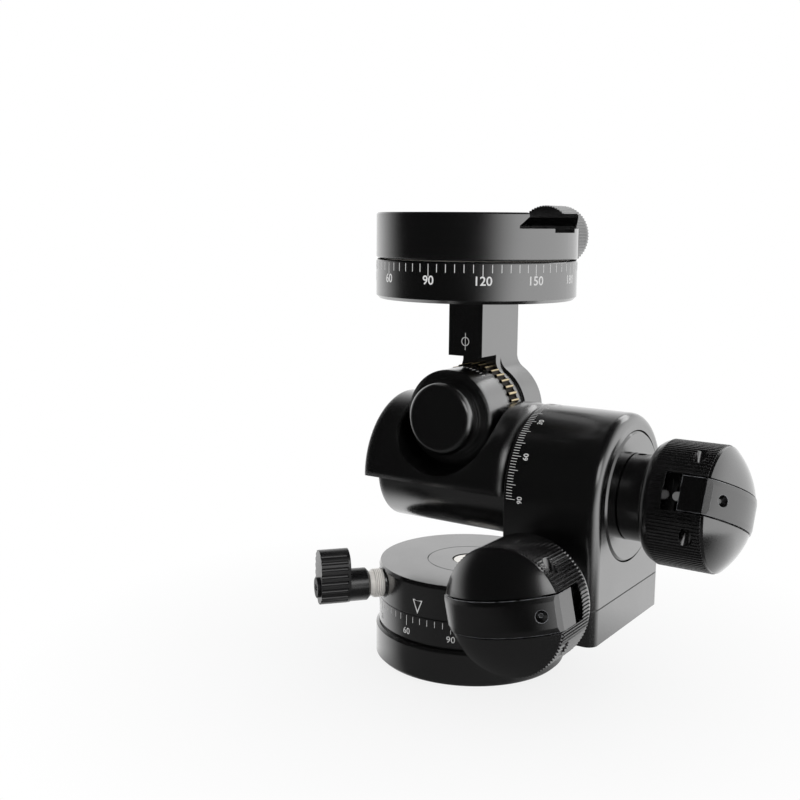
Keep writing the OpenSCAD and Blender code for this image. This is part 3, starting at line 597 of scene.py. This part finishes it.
# The wheel's tooth valleys below the crest's radius get painted shade
GEAR = Finish(
    "gear_brass", (0.82, 0.68, 0.42), (0.95, 0.86, 0.66), (0.28, 0.40),
    metallic=0.8, grain=3000.0, lines=0.12, crest=15.35,
)
BRASS = Finish(
    "brass", (0.28, 0.18, 0.075), (0.75, 0.54, 0.27), (0.28, 0.40),
    metallic=1.0, grain=3000.0, lines=0.12,
)
BRONZE = Finish(
    "bronze", (0.45, 0.29, 0.15), (0.60, 0.42, 0.24), (0.32, 0.44), metallic=1.0, lines=0.10
)
POLYMER = Finish("washer_polymer", (0.55, 0.53, 0.48), (0.62, 0.60, 0.56), (0.45, 0.55), wear_and_highlight=0.2)
INK = Finish("white_ink", WHITE, WHITE, (0.5, 0.62), specular=0.3, relief=0.05, edge=0.02)


def dress(finishes: dict[str, tuple[Finish, TurnAxis]]) -> None:
    """Give carried-over solids their finishes.

    Args:
        finishes: Node name to its finish and lathe axis.
    """
    for node, (finish, axis) in finishes.items():
        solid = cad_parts[node]
        if not solid.material_slots:
            solid.data.materials.append(None)
        for place in solid.material_slots:
            place.material = finish.material(axis)
        LOG.info("dressed %s in %s", node, finish.name)


def surface(name: str, points: np.ndarray, faces: np.ndarray, smooth: bool) -> bpy.types.Object:
    """Put arrays into a new mesh object at the origin.

    Args:
        name: Name of the piece.
        points: Corner places in metres, one row each.
        faces: Corner numbers, one row for each face.
        smooth: Whether the faces shade smoothly.

    Returns:
        The linked object.
    """
    mesh = bpy.data.meshes.new(name)
    mesh.from_pydata(points, [], faces)
    mesh.polygons.foreach_set("use_smooth", np.full(len(mesh.polygons), smooth))
    mesh.update()
    piece = bpy.data.objects.new(name, mesh)
    bpy.context.scene.collection.objects.link(piece)
    return piece


def grid_faces(rows: int, columns: int, around: bool) -> np.ndarray:
    """Number the four-cornered faces of a grid of points.

    Args:
        rows: Number of rows of points.
        columns: Number of points in a row.
        around: Whether the last column joins the first.

    Returns:
        Corner numbers, four for each face.
    """
    across = columns if around else columns - 1
    row, column = np.meshgrid(np.arange(rows - 1), np.arange(across), indexing="ij")
    here = row * columns + column
    side = row * columns + (column + 1) % columns
    return np.stack([here, side, side + columns, here + columns], axis=-1).reshape(-1, 4)


@dataclass(frozen=True)
class Drum:
    """A cylinder about the pan axis that carries marks, in millimetres."""

    radius: float
    level: float

    def __call__(self, flat: np.ndarray, lift: float) -> np.ndarray:
        """Wrap flat marks: across is arc length round the drum from the front, up is height.

        Args:
            flat: Flat places, one row each.
            lift: Height above the surface.

        Returns:
            Places on the drum.
        """
        turn = flat[:, 0] / self.radius
        reach = self.radius + lift
        level = self.level + flat[:, 1]
        return np.stack([reach * np.sin(turn), -reach * np.cos(turn), level], axis=1)


@dataclass(frozen=True)
class Arch:
    """The round of the upright about the tilt axis, in millimetres."""

    radius: float
    height: float
    start: float

    def __call__(self, flat: np.ndarray, lift: float) -> np.ndarray:
        """Wrap flat marks: up is towards the scale's edge, across climbs to the arch's top.

        Args:
            flat: Flat places, one row each.
            lift: Height above the surface.

        Returns:
            Places on the arch.
        """
        turn = -flat[:, 0] / self.radius
        reach = self.radius + lift
        along = self.start - flat[:, 1]
        return np.stack([along, -reach * np.sin(turn), self.height + reach * np.cos(turn)], axis=1)


@dataclass(frozen=True)
class Boss:
    """The pivot boss about the front-to-back axis, in millimetres."""

    radius: float
    height: float
    start: float

    def __call__(self, flat: np.ndarray, lift: float) -> np.ndarray:
        """Wrap flat marks: across is arc length from the top, up runs back along the boss.

        Args:
            flat: Flat places, one row each.
            lift: Height above the surface.

        Returns:
            Places on the boss.
        """
        turn = flat[:, 0] / self.radius
        reach = self.radius + lift
        along = self.start + flat[:, 1]
        return np.stack([reach * np.sin(turn), along, self.height + reach * np.cos(turn)], axis=1)


@dataclass(frozen=True)
class FrontFace:
    """A flat face that looks to the front, in millimetres."""

    across: float
    front: float
    level: float

    def __call__(self, flat: np.ndarray, lift: float) -> np.ndarray:
        """Lay flat marks on the face: across is sideways, up is height.

        Args:
            flat: Flat places, one row each.
            lift: Height above the surface.

        Returns:
            Places on the face.
        """
        front = np.full(len(flat), self.front - lift)
        return np.stack([self.across + flat[:, 0], front, self.level + flat[:, 1]], axis=1)


@dataclass(frozen=True)
class Ticks:
    """Marks of one scale: the ends and width of its ticks and its digits, in millimetres."""

    long_step: int
    top: float
    short: float
    long: float
    width: float
    digit_up: float = 0.0
    digit_size: float = 0.0


@dataclass
class Ink:
    """White marks in one body: flat strokes and numbers, laid on the surface that carries them."""

    name: str
    body: str
    place: Placer
    lift: float = 0.03
    skin: float = 0.05
    weight: float = 0.012
    digit_step: int = 30
    points: list[np.ndarray] = field(default_factory=list)
    faces: list[list[int]] = field(default_factory=list)

    def add(self, corners: np.ndarray, faces: list[list[int]]) -> None:
        """Keep flat corners and their faces.

        Args:
            corners: Flat places in millimetres, one row each.
            faces: Corner numbers counted from this batch's first corner.
        """
        first = sum(len(batch) for batch in self.points)
        self.points.append(corners)
        self.faces.extend([[first + corner for corner in face] for face in faces])

    def bars(self, across: np.ndarray, low: np.ndarray, high: np.ndarray, width: float) -> None:
        """Add upright bars, each a strip of two faces from its low to its high end.

        Args:
            across: Middle of each bar.
            low: Lower end of each bar.
            high: Upper end of each bar.
            width: Width of every bar.
        """
        rows = 3
        half = width / 2
        level = low[:, None] + (high - low)[:, None] * np.linspace(0, 1, rows)
        left = np.stack([np.repeat((across - half)[:, None], rows, 1), level], axis=-1)
        right = np.stack([np.repeat((across + half)[:, None], rows, 1), level], axis=-1)
        corners = np.stack([left, right], axis=2).reshape(-1, 2)
        first = np.arange(len(across))[:, None, None] * 2 * rows
        quads = np.array([[0, 1, 3, 2], [2, 3, 5, 4]])[None]
        self.add(corners, (first + quads).reshape(-1, 4).tolist())

    def number(self, value: str, across: float, up: float, size: float) -> None:
        """Add a number set in the plain built-in type, centred on its place.

        Args:
            value: The digits.
            across: Middle of the number.
            up: Middle of the digits' height.
            size: Height of the type in millimetres.
        """
        curve = bpy.data.curves.new(f"{self.name}_{value}", "FONT")
        curve.body = value
        curve.size = size
        curve.align_x = "CENTER"
        curve.align_y = "CENTER"
        curve.offset = self.weight * size
        curve.resolution_u = 4
        holder = bpy.data.objects.new(curve.name, curve)
        bpy.context.scene.collection.objects.link(holder)
        graph = bpy.context.evaluated_depsgraph_get()
        mesh = bpy.data.meshes.new_from_object(holder.evaluated_get(graph))
        flat = np.empty(len(mesh.vertices) * 3)
        mesh.vertices.foreach_get("co", flat)
        corners = flat.reshape(-1, 3)[:, :2] + (across, up)
        self.add(corners, [list(face.vertices) for face in mesh.polygons])
        bpy.data.objects.remove(holder)
        bpy.data.meshes.remove(mesh)
        bpy.data.curves.remove(curve)

    def scale(self, degrees: np.ndarray, across: np.ndarray, ticks: Ticks) -> None:
        """Add a scale: a tick at each degree given, long at whole steps, and its numbers.

        Args:
            degrees: The degrees that get a tick.
            across: Flat place of each tick.
            ticks: Sizes of the ticks and digits.
        """
        low = np.where(degrees % ticks.long_step == 0, ticks.long, ticks.short)
        self.bars(across, low, np.full(len(degrees), ticks.top), ticks.width)
        if ticks.digit_size > 0:
            for value, middle in zip(degrees.tolist(), across.tolist()):
                if value % self.digit_step == 0:
                    self.number(str(abs(value)), middle, ticks.digit_up, ticks.digit_size)

    def loop(self, outer: np.ndarray, inner: np.ndarray) -> None:
        """Add a closed line between two rings of as many corners.

        Args:
            outer: Corners of the outer ring.
            inner: Corners of the inner ring.
        """
        corners = np.concatenate([inner, outer])
        self.add(corners, grid_faces(2, len(outer), True)[:, ::-1].tolist())

    def piece(self) -> bpy.types.Object:
        """Make the marks one thin piece that rides on its body.

        Returns:
            The finished object.
        """
        flat = np.concatenate(self.points)
        points = self.place(flat, self.lift) * MM
        made = surface(self.name, points, self.faces, False)
        skin = made.modifiers.new("thickness", "SOLIDIFY")
        skin.thickness = self.skin * MM
        skin.offset = -1
        made.data.materials.append(INK.material())
        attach(made, self.body)
        LOG.info("built %s with %d faces of marks", self.name, len(self.faces))
        return made


@dataclass(frozen=True)
class Thread:
    """A screw thread as a wavy tube: the radius swings with the angle and the place along it."""

    name: str
    body: str
    slot: str
    root: float
    crest: float
    pitch: float
    length: float
    rows_per_pitch: int = 12
    columns: int = 48
    run_out: float = 0.6

    def piece(self, matrix: np.ndarray, finish: Finish, axis: TurnAxis) -> bpy.types.Object:
        """Make the thread along local Z and set it in place.

        The radius is the root plus a triangle wave of height less angle over a whole turn, and it
        runs out to the root at both ends.

        Args:
            matrix: Rows of the turn, with the start in millimetres as the last column.
            finish: The finish.
            axis: The finish's lathe axis.

        Returns:
            The finished object.
        """
        rows = int(self.length / self.pitch * self.rows_per_pitch) + 1
        along = np.linspace(0, self.length, rows)[:, None]
        angle = np.linspace(0, FULL_TURN, self.columns, endpoint=False)[None, :]
        wave = 2 * np.abs((along / self.pitch - angle / FULL_TURN) % 1 - 0.5)
        to_end = np.minimum(along, self.length - along)
        fade = np.clip(to_end / (self.run_out * self.pitch), 0, 1)
        reach = self.root + (self.crest - self.root) * wave * fade
        local = np.stack([reach * np.cos(angle), reach * np.sin(angle), along + 0 * angle], axis=-1)
        points = (local.reshape(-1, 3) @ matrix[:, :3].T + matrix[:, 3]) * MM
        faces = grid_faces(rows, self.columns, True)
        if self.crest < self.root:
            faces = faces[:, ::-1]
        made = surface(self.name, points, faces, True)
        made.data.materials.append(finish.material(axis))
        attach(made, self.body)
        LOG.info("built %s", self.name)
        return made


# How far a thread's root stands clear of the plain wall that it covers
THREAD_GAP = 0.02


@dataclass
class PanBase:
    """The fixed base with its scale ring. Sizes in millimetres."""

    ring_r: float = 30.0
    ring_top: float = 20.0
    zero: float = -70.68
    ticks: Ticks = Ticks(
        long_step=30, top=-0.45, short=-2.4, long=-3.7, width=0.17, digit_up=-5.6, digit_size=2.9
    )
    socket_r: float = 4.0
    thread_depth: float = 0.5
    thread_pitch: float = 1.5875
    thread_length: float = 7.6
    thread_start: float = 0.2

    def dress(self) -> None:
        """Give the base's solids their finishes."""
        dress({
            "base_drum": (BODY, TurnAxis.PAN),
            "pan_scale_ring": (BODY, TurnAxis.PAN),
            "tripod_insert": (STEEL_PAINTED_REFLECTION, TurnAxis.PAN),
            "pan_post": (STEEL_PAINTED_REFLECTION, TurnAxis.PAN),
            "pan_bolt": (BOLT, TurnAxis.PAN),
            "thrust_washer": (POLYMER, TurnAxis.NONE),
            "base_screws": (DARK_STEEL, TurnAxis.NONE),
        })

    def build(self) -> None:
        """Mark the ring in degrees and cut the socket's thread."""
        ink = Ink("pan_scale_marks", "base", Drum(self.ring_r, self.ring_top), weight=0.0)
        degrees = np.arange(0, 360, 5)
        ink.scale(degrees, np.radians(degrees + self.zero) * self.ring_r, self.ticks)
        ink.piece()
        cut = Thread(
            "tripod_thread", "base", "steel", self.socket_r - THREAD_GAP,
            self.socket_r - self.thread_depth, self.thread_pitch, self.thread_length,
        )
        matrix = np.hstack([np.eye(3), [[0], [0], [self.thread_start]]])
        cut.piece(matrix, STEEL_PAINTED_REFLECTION, TurnAxis.PAN)


@dataclass
class Platform:
    """The turning platform with its upright. Sizes in millimetres."""

    rim_r: float = 30.1
    rim_low: float = 20.3
    index: float = -2.2
    arch_r: float = 24.7
    tilt_z: float = 60.6
    scale_x: float = 26.0
    ticks: Ticks = Ticks(
        long_step=10, top=0.0, short=-1.9, long=-2.9, width=0.13, digit_up=-4.5, digit_size=2.3
    )

    def dress(self) -> None:
        """Give the platform's solids their finishes."""
        dress({
            "platform": (BODY, TurnAxis.PAN),
            "platform_cap": (BODY, TurnAxis.PAN),
            "pan_bush": (BRONZE, TurnAxis.PAN),
            "brake_shoe": (BRASS, TurnAxis.LOCK),
            "upright": (BODY, TurnAxis.TILT),
            "upright_screws": (DARK_STEEL, TurnAxis.NONE),
            "spindle_bush": (BRONZE, TurnAxis.TILT),
            "worm_bush_front": (BRONZE, TurnAxis.FRONT_DRIVE),
            "worm_bush_rear": (BRONZE, TurnAxis.FRONT_DRIVE),
        })

    def build(self) -> None:
        """Draw the pan index, a hollow triangle on its tip, and the upright's tilt scale."""
        ink = Ink("pan_index_mark", "platform", Drum(self.rim_r, self.rim_low))
        middle = math.radians(self.index) * self.rim_r
        outer = np.array([[0, 0.75], [1.8, 5.2], [-1.8, 5.2]])
        inner = np.array([[0, 1.65], [1.36, 4.92], [-1.36, 4.92]])
        ink.loop(outer + (middle, 0), inner + (middle, 0))
        ink.piece()
        arch = Arch(self.arch_r, self.tilt_z, self.scale_x)
        scale = Ink("tilt_scale_marks", "platform", arch, weight=0.0)
        degrees = np.arange(-30, 91, 2)
        scale.scale(degrees, -np.radians(degrees) * self.arch_r, self.ticks)
        scale.piece()


@dataclass
class PanLock:
    """The lever that holds the pan, with its threaded stud. Sizes in millimetres."""

    height: float = 25.8
    bearing: float = -130.0
    stud_r: float = 4.4
    start: float = 30.5
    length: float = 2.9
    thread_depth: float = 0.25
    thread_pitch: float = 0.6

    def dress(self) -> None:
        """Give the lock's solids their finishes."""
        dress({
            "pan_lock_lever": (LEVER, TurnAxis.LOCK),
            "pan_lock_stud": (STEEL_PAINTED_REFLECTION, TurnAxis.LOCK),
            "pan_lock_screw": (DARK_STEEL, TurnAxis.LOCK),
        })

    def build(self) -> None:
        """Cut the stud's thread where it shows."""
        turn = math.radians(self.bearing)
        out = np.array([math.cos(turn), math.sin(turn), 0.0])
        up = np.array([0.0, 0.0, 1.0])
        side = np.cross(out, up)
        place = out * self.start + up * self.height
        matrix = np.stack([up, -side, out, place], axis=1)
        cut = Thread(
            "lock_stud_thread", "pan_lock", "steel", self.stud_r + THREAD_GAP,
            self.stud_r + self.thread_depth, self.thread_pitch, self.length,
        )
        cut.piece(matrix, STUD, TurnAxis.LOCK)


@dataclass
class Cradle:
    """The casting that tilts front to back, with the boss of the neck's pivot. In millimetres."""

    boss_r: float = 14.8
    neck_z: float = 80.7488
    boss_rear: float = -6.1
    ticks: Ticks = Ticks(long_step=15, top=0.0, short=-1.3, long=-1.9, width=0.22)

    def dress(self) -> None:
        """Give the cradle's solids their finishes."""
        dress({
            "cradle": (CASTING, TurnAxis.TILT),
            "spindle": (STEEL_PAINTED_REFLECTION, TurnAxis.TILT),
            "tilt_wheel": (BRASS, TurnAxis.TILT),
            "end_disc": (BODY, TurnAxis.TILT),
            "shaft_bush_inner": (BRONZE, TurnAxis.TILT),
            "shaft_bush_outer": (BRONZE, TurnAxis.TILT),
            "bearing_plug": (DARK_STEEL, TurnAxis.TILT),
            "pivot_axle": (STEEL_PAINTED_REFLECTION, TurnAxis.PIVOT),
            "pivot_cap_front": (BODY, TurnAxis.PIVOT),
            "pivot_cap_rear": (BODY, TurnAxis.PIVOT),
        })

    def build(self) -> None:
        """Mark the boss in steps of five degrees beside the neck."""
        ink = Ink("side_tilt_marks", "cradle", Boss(self.boss_r, self.neck_z, self.boss_rear))
        degrees = np.arange(-30, 31, 5)
        ink.scale(degrees, np.radians(degrees) * self.boss_r, self.ticks)
        ink.piece()


@dataclass
class GearKnob:
    """A ribbed knob on its worm shaft, with a crank that folds out of it."""

    side: str
    axis: TurnAxis

    def dress(self) -> None:
        """Give the knob's solids their finishes."""
        dress({
            f"{self.side}_shaft": (STEEL_PAINTED_REFLECTION, self.axis),
            f"{self.side}_worm": (STEEL_PAINTED_REFLECTION, TurnAxis.NONE),
            f"{self.side}_knob": (KNOB, self.axis),
            f"{self.side}_knob_grub": (DARK_STEEL, TurnAxis.NONE),
            f"{self.side}_crank_pin": (PIN, TurnAxis.NONE),
            f"{self.side}_detent": (CHROME_PAINTED_GLINT, TurnAxis.NONE),
            f"{self.side}_crank": (CRANK, TurnAxis.NONE),
        })


@dataclass
class Neck:
    """The neck that tilts side to side, with the clamp's scale disc. Sizes in millimetres."""

    disc_r: float = 31.5
    disc_top: float = 129.1488
    zero: float = -86.0
    ticks: Ticks = Ticks(
        long_step=30, top=-0.6, short=-3.0, long=-4.2, width=0.2, digit_up=-5.45, digit_size=3.7
    )
    front: float = -5.95
    mark_z: float = 103.6
    mark_r: float = 1.4
    mark_inner_r: float = 1.19
    mark_half: float = 2.7
    mark_w: float = 0.18

    def dress(self) -> None:
        """Give the neck's solids their finishes."""
        dress({
            "neck": (BODY, TurnAxis.NONE),
            "neck_wheel": (GEAR, TurnAxis.PIVOT),
            "neck_bush": (BRONZE, TurnAxis.PIVOT),
            "clamp_scale_disc": (DISC_WITH_GAP_SHADE, TurnAxis.PAN),
            "neck_screws": (DARK_STEEL, TurnAxis.NONE),
            "clamp_pivot": (DARK_STEEL, TurnAxis.PAN),
            "clamp_washer": (POLYMER, TurnAxis.NONE),
        })

    def build(self) -> None:
        """Mark the scale disc in degrees and the neck's front with a ring and a line."""
        ink = Ink("clamp_scale_marks", "neck", Drum(self.disc_r, self.disc_top))
        degrees = np.arange(0, 360, 5)
        ink.scale(degrees, np.radians(degrees + self.zero) * self.disc_r, self.ticks)
        ink.piece()
        mark = Ink("neck_index_mark", "neck", FrontFace(0.0, self.front, self.mark_z))
        turn = np.linspace(0, FULL_TURN, 32, endpoint=False)
        ring = np.stack([np.cos(turn), np.sin(turn)], axis=1)
        mark.loop(ring * self.mark_r, ring * self.mark_inner_r)
        mark.bars(
            np.zeros(1), np.array([-self.mark_half]), np.array([self.mark_half]), self.mark_w
        )
        mark.piece()


@dataclass
class Clamp:
    """The dovetail clamp that pans on the scale disc."""

    def dress(self) -> None:
        """Give the clamp's solids their finishes."""
        dress({
            "clamp_base": (DISC_WITH_GAP_SHADE, TurnAxis.PAN),
            "clamp_guides": (STEEL_PAINTED_REFLECTION, TurnAxis.NONE),
            "clamp_jaw": (BODY, TurnAxis.NONE),
            "clamp_screw": (STEEL_PAINTED_REFLECTION, TurnAxis.CLAMP_SCREW),
            "clamp_knob": (KNOB, TurnAxis.CLAMP_SCREW),
        })


def stand(right: np.ndarray, up: np.ndarray, back: np.ndarray, place: Vec3) -> Matrix:
    """Make the matrix that stands an object's X, Y and Z along three directions at a place.

    Args:
        right: Direction of X.
        up: Direction of Y.
        back: Direction of Z.
        place: The place in metres.

    Returns:
        The matrix.
    """
    turn = np.eye(4)
    turn[:3] = np.stack([right, up, back, place], axis=1)
    return Matrix(turn.tolist())


@dataclass(frozen=True)
class Panel:
    """A soft lamp that faces a point. Sizes in metres, and level 1 is as bright as the backdrop."""

    name: str
    place: Vec3
    size: tuple[float, float]
    level: float

    def hang(self, aim: Vec3) -> None:
        """Hang the panel, its power set from its size and brightness.

        Args:
            aim: The point it faces.
        """
        lamp = bpy.data.lights.new(self.name, "AREA")
        lamp.shape = "RECTANGLE"
        lamp.size, lamp.size_y = self.size
        lamp.energy = self.level * math.pi * self.size[0] * self.size[1]
        back = np.array(self.place) - np.array(aim)
        back = back / np.linalg.norm(back)
        side = np.cross((0, 0, 1), back)
        side = side / np.linalg.norm(side)
        hung = bpy.data.objects.new(self.name, lamp)
        hung.matrix_world = stand(side, np.cross(back, side), back, self.place)
        bpy.context.scene.collection.objects.link(hung)


@dataclass
class Studio:
    """Floor, light, backdrop and camera. Sizes in metres, turns in degrees."""

    floor_r: float = 0.20
    floor_drop: float = 0.0005
    floor_grey: float = 0.5
    # Distance from the axis where the seen floor starts to fade to white and where it is white
    fade: tuple[float, float] = (0.03, 0.15)
    near_white: float = 0.85
    # Where the mirrored floor opens to the left and behind, and how bright it is elsewhere
    open_left: tuple[float, float] = (0.0, -0.03)
    open_behind: tuple[float, float] = (-0.02, 0.07)
    mirror_shift: Vec3 = (0.0, 0.03, 0.0)
    mirror_least: float = 0.05
    soft_light: Vec3 = (0.95, 0.95, 0.96)
    aim: Vec3 = (0.02, 0.0, 0.075)
    panels: tuple[Panel, ...] = (
        Panel("front_fill", (0.75, -0.55, 0.60), (0.45, 0.45), 1.1),
        Panel("back_rim", (0.10, 0.75, 0.70), (0.6, 0.3), 1.5),
    )
    eye: Vec3 = (0.17865, -0.30457, 0.14008)
    yaw: float = 34.25
    pitch: float = 9.04
    roll: float = 0.44
    focal_px: float = 1109.2
    frame_px: float = 800.0
    sensor_mm: float = 36.0

    def floor(self) -> None:
        """Lay a round floor just below the base: rings of points at even steps of radius."""
        rings, columns, inner = 24, 96, 0.001
        reach = np.linspace(inner, self.floor_r, rings)[:, None]
        angle = np.linspace(0, FULL_TURN, columns, endpoint=False)[None, :]
        level = 0 * reach * angle - self.floor_drop
        points = np.stack([reach * np.cos(angle), reach * np.sin(angle), level], axis=-1)
        faces = grid_faces(rings, columns, True)[:, ::-1]
        laid = surface("floor", points.reshape(-1, 3), faces, False)
        laid.data.materials.append(self.floor_material())
        LOG.info("laid the floor")

    def floor_material(self) -> bpy.types.Material:
        """Make the floor's material: seen nearly white, mirrored as the studio's glow.

        Returns:
            The material.
        """
        made = bpy.data.materials.new("pale_floor")
        made.use_nodes = True
        tree = made.node_tree
        tree.nodes.clear()
        out = add_node(tree, "OutputMaterial")
        grey = self.floor_grey
        matt = add_node(tree, "BsdfDiffuse", {"Color": (grey, grey, grey, 1)})
        white = add_node(tree, "Emission")
        mirror = add_node(tree, "Emission")
        where = add_node(tree, "TexCoord").outputs["Object"]
        rays = add_node(tree, "LightPath").outputs
        glow = add_group(tree, Effects.glow(), {})
        ahead = add_node(tree, "VectorMath", {1: self.mirror_shift}, "ADD")
        split = add_node(tree, "SeparateXYZ")
        left = add_ramp(tree, *self.open_left)
        behind = add_ramp(tree, *self.open_behind)
        opened = add_node(tree, "Math", operation="ADD")
        opened.use_clamp = True
        level = add_node(tree, "Math", {2: self.mirror_least}, "MULTIPLY_ADD")
        far = add_node(tree, "VectorMath", operation="LENGTH")
        fade = add_ramp(tree, *self.fade, self.near_white)
        looked = add_node(tree, "Math", operation="MULTIPLY")
        seen = add_node(tree, "MixShader")
        blend = add_node(tree, "MixShader")
        wire(
            tree,
            (where, far.inputs[0]),
            (where, ahead.inputs[0]),
            (where, split.inputs[0]),
            (ahead.outputs[0], glow.inputs["Vector"]),
            (split.outputs["X"], left.inputs["Value"]),
            (split.outputs["Y"], behind.inputs["Value"]),
            (left.outputs[0], opened.inputs[0]),
            (behind.outputs[0], opened.inputs[1]),
            (glow.outputs["Strength"], level.inputs[0]),
            (opened.outputs[0], level.inputs[1]),
            (level.outputs[0], mirror.inputs["Color"]),
            (far.outputs["Value"], fade.inputs["Value"]),
            (fade.outputs[0], looked.inputs[0]),
            (rays["Is Camera Ray"], looked.inputs[1]),
            (looked.outputs[0], seen.inputs[0]),
            (matt.outputs[0], seen.inputs[1]),
            (white.outputs[0], seen.inputs[2]),
            (rays["Is Glossy Ray"], blend.inputs[0]),
            (seen.outputs[0], blend.inputs[1]),
            (mirror.outputs[0], blend.inputs[2]),
            (blend.outputs[0], out.inputs["Surface"]),
        )
        return made

    def backdrop(self) -> None:
        """Set a white backdrop: seen white, mirrored white from behind and dim from the front.

        Its light isn't sampled as a lamp, because that would pass over the split by ray.
        """
        world = bpy.data.worlds.new("studio")
        bpy.context.scene.world = world
        world.use_nodes = True
        world.cycles.sampling_method = "NONE"
        tree = world.node_tree
        tree.nodes.clear()
        out = add_node(tree, "OutputWorld")
        soft = add_node(tree, "Background", {"Color": (*self.soft_light, 1)})
        white = add_node(tree, "Background", {"Color": (1, 1, 1, 1)})
        mirror = add_node(tree, "Background")
        where = add_node(tree, "TexCoord").outputs["Generated"]
        rays = add_node(tree, "LightPath").outputs
        glow = add_group(tree, Effects.glow(), {})
        lit = add_node(tree, "MixShader")
        shown = add_node(tree, "MixShader")
        wire(
            tree,
            (where, glow.inputs["Vector"]),
            (glow.outputs["Strength"], mirror.inputs["Color"]),
            (rays["Is Glossy Ray"], lit.inputs[0]),
            (soft.outputs[0], lit.inputs[1]),
            (mirror.outputs[0], lit.inputs[2]),
            (rays["Is Camera Ray"], shown.inputs[0]),
            (lit.outputs[0], shown.inputs[1]),
            (white.outputs[0], shown.inputs[2]),
            (shown.outputs[0], out.inputs["Surface"]),
        )
        LOG.info("set the backdrop")

    def lamps(self) -> None:
        """Hang the panels: a small one in front on the right and a high one behind."""
        for panel in self.panels:
            panel.hang(self.aim)
        LOG.info("hung the lamps")

    def camera(self) -> None:
        """Set the camera from its eye point, turns and focal length in pixels of the frame."""
        yaw, pitch, roll = (math.radians(turn) for turn in (self.yaw, self.pitch, self.roll))
        level = np.array([-math.sin(yaw), math.cos(yaw), 0.0])
        ahead = level * math.cos(pitch) - np.array([0.0, 0.0, math.sin(pitch)])
        right = np.array([math.cos(yaw), math.sin(yaw), 0.0])
        up = np.cross(right, ahead)
        lens = bpy.data.cameras.new("camera")
        lens.sensor_width = self.sensor_mm
        lens.lens = self.sensor_mm * self.focal_px / self.frame_px
        lens.clip_start = 0.01
        holder = bpy.data.objects.new("camera", lens)
        rolled_right = math.cos(roll) * right + math.sin(roll) * up
        rolled_up = math.cos(roll) * up - math.sin(roll) * right
        holder.matrix_world = stand(rolled_right, rolled_up, -ahead, self.eye)
        bpy.context.scene.collection.objects.link(holder)
        bpy.context.scene.camera = holder
        bpy.context.scene.view_settings.view_transform = "Standard"
        LOG.info("set the camera")


def main() -> None:
    """Build the studio, dress the solids and add the marks and threads."""
    logging.basicConfig(level=logging.INFO, format="%(name)s: %(message)s")
    studio = Studio()
    studio.camera()
    studio.floor()
    studio.backdrop()
    studio.lamps()
    for part in (PanBase(), Platform(), PanLock(), Cradle(), Neck()):
        part.dress()
        part.build()
    knobs = (GearKnob("front", TurnAxis.FRONT_DRIVE), GearKnob("side", TurnAxis.TILT))
    for part in (*knobs, Clamp()):
        part.dress()


if __name__ == "__main__":
    main()
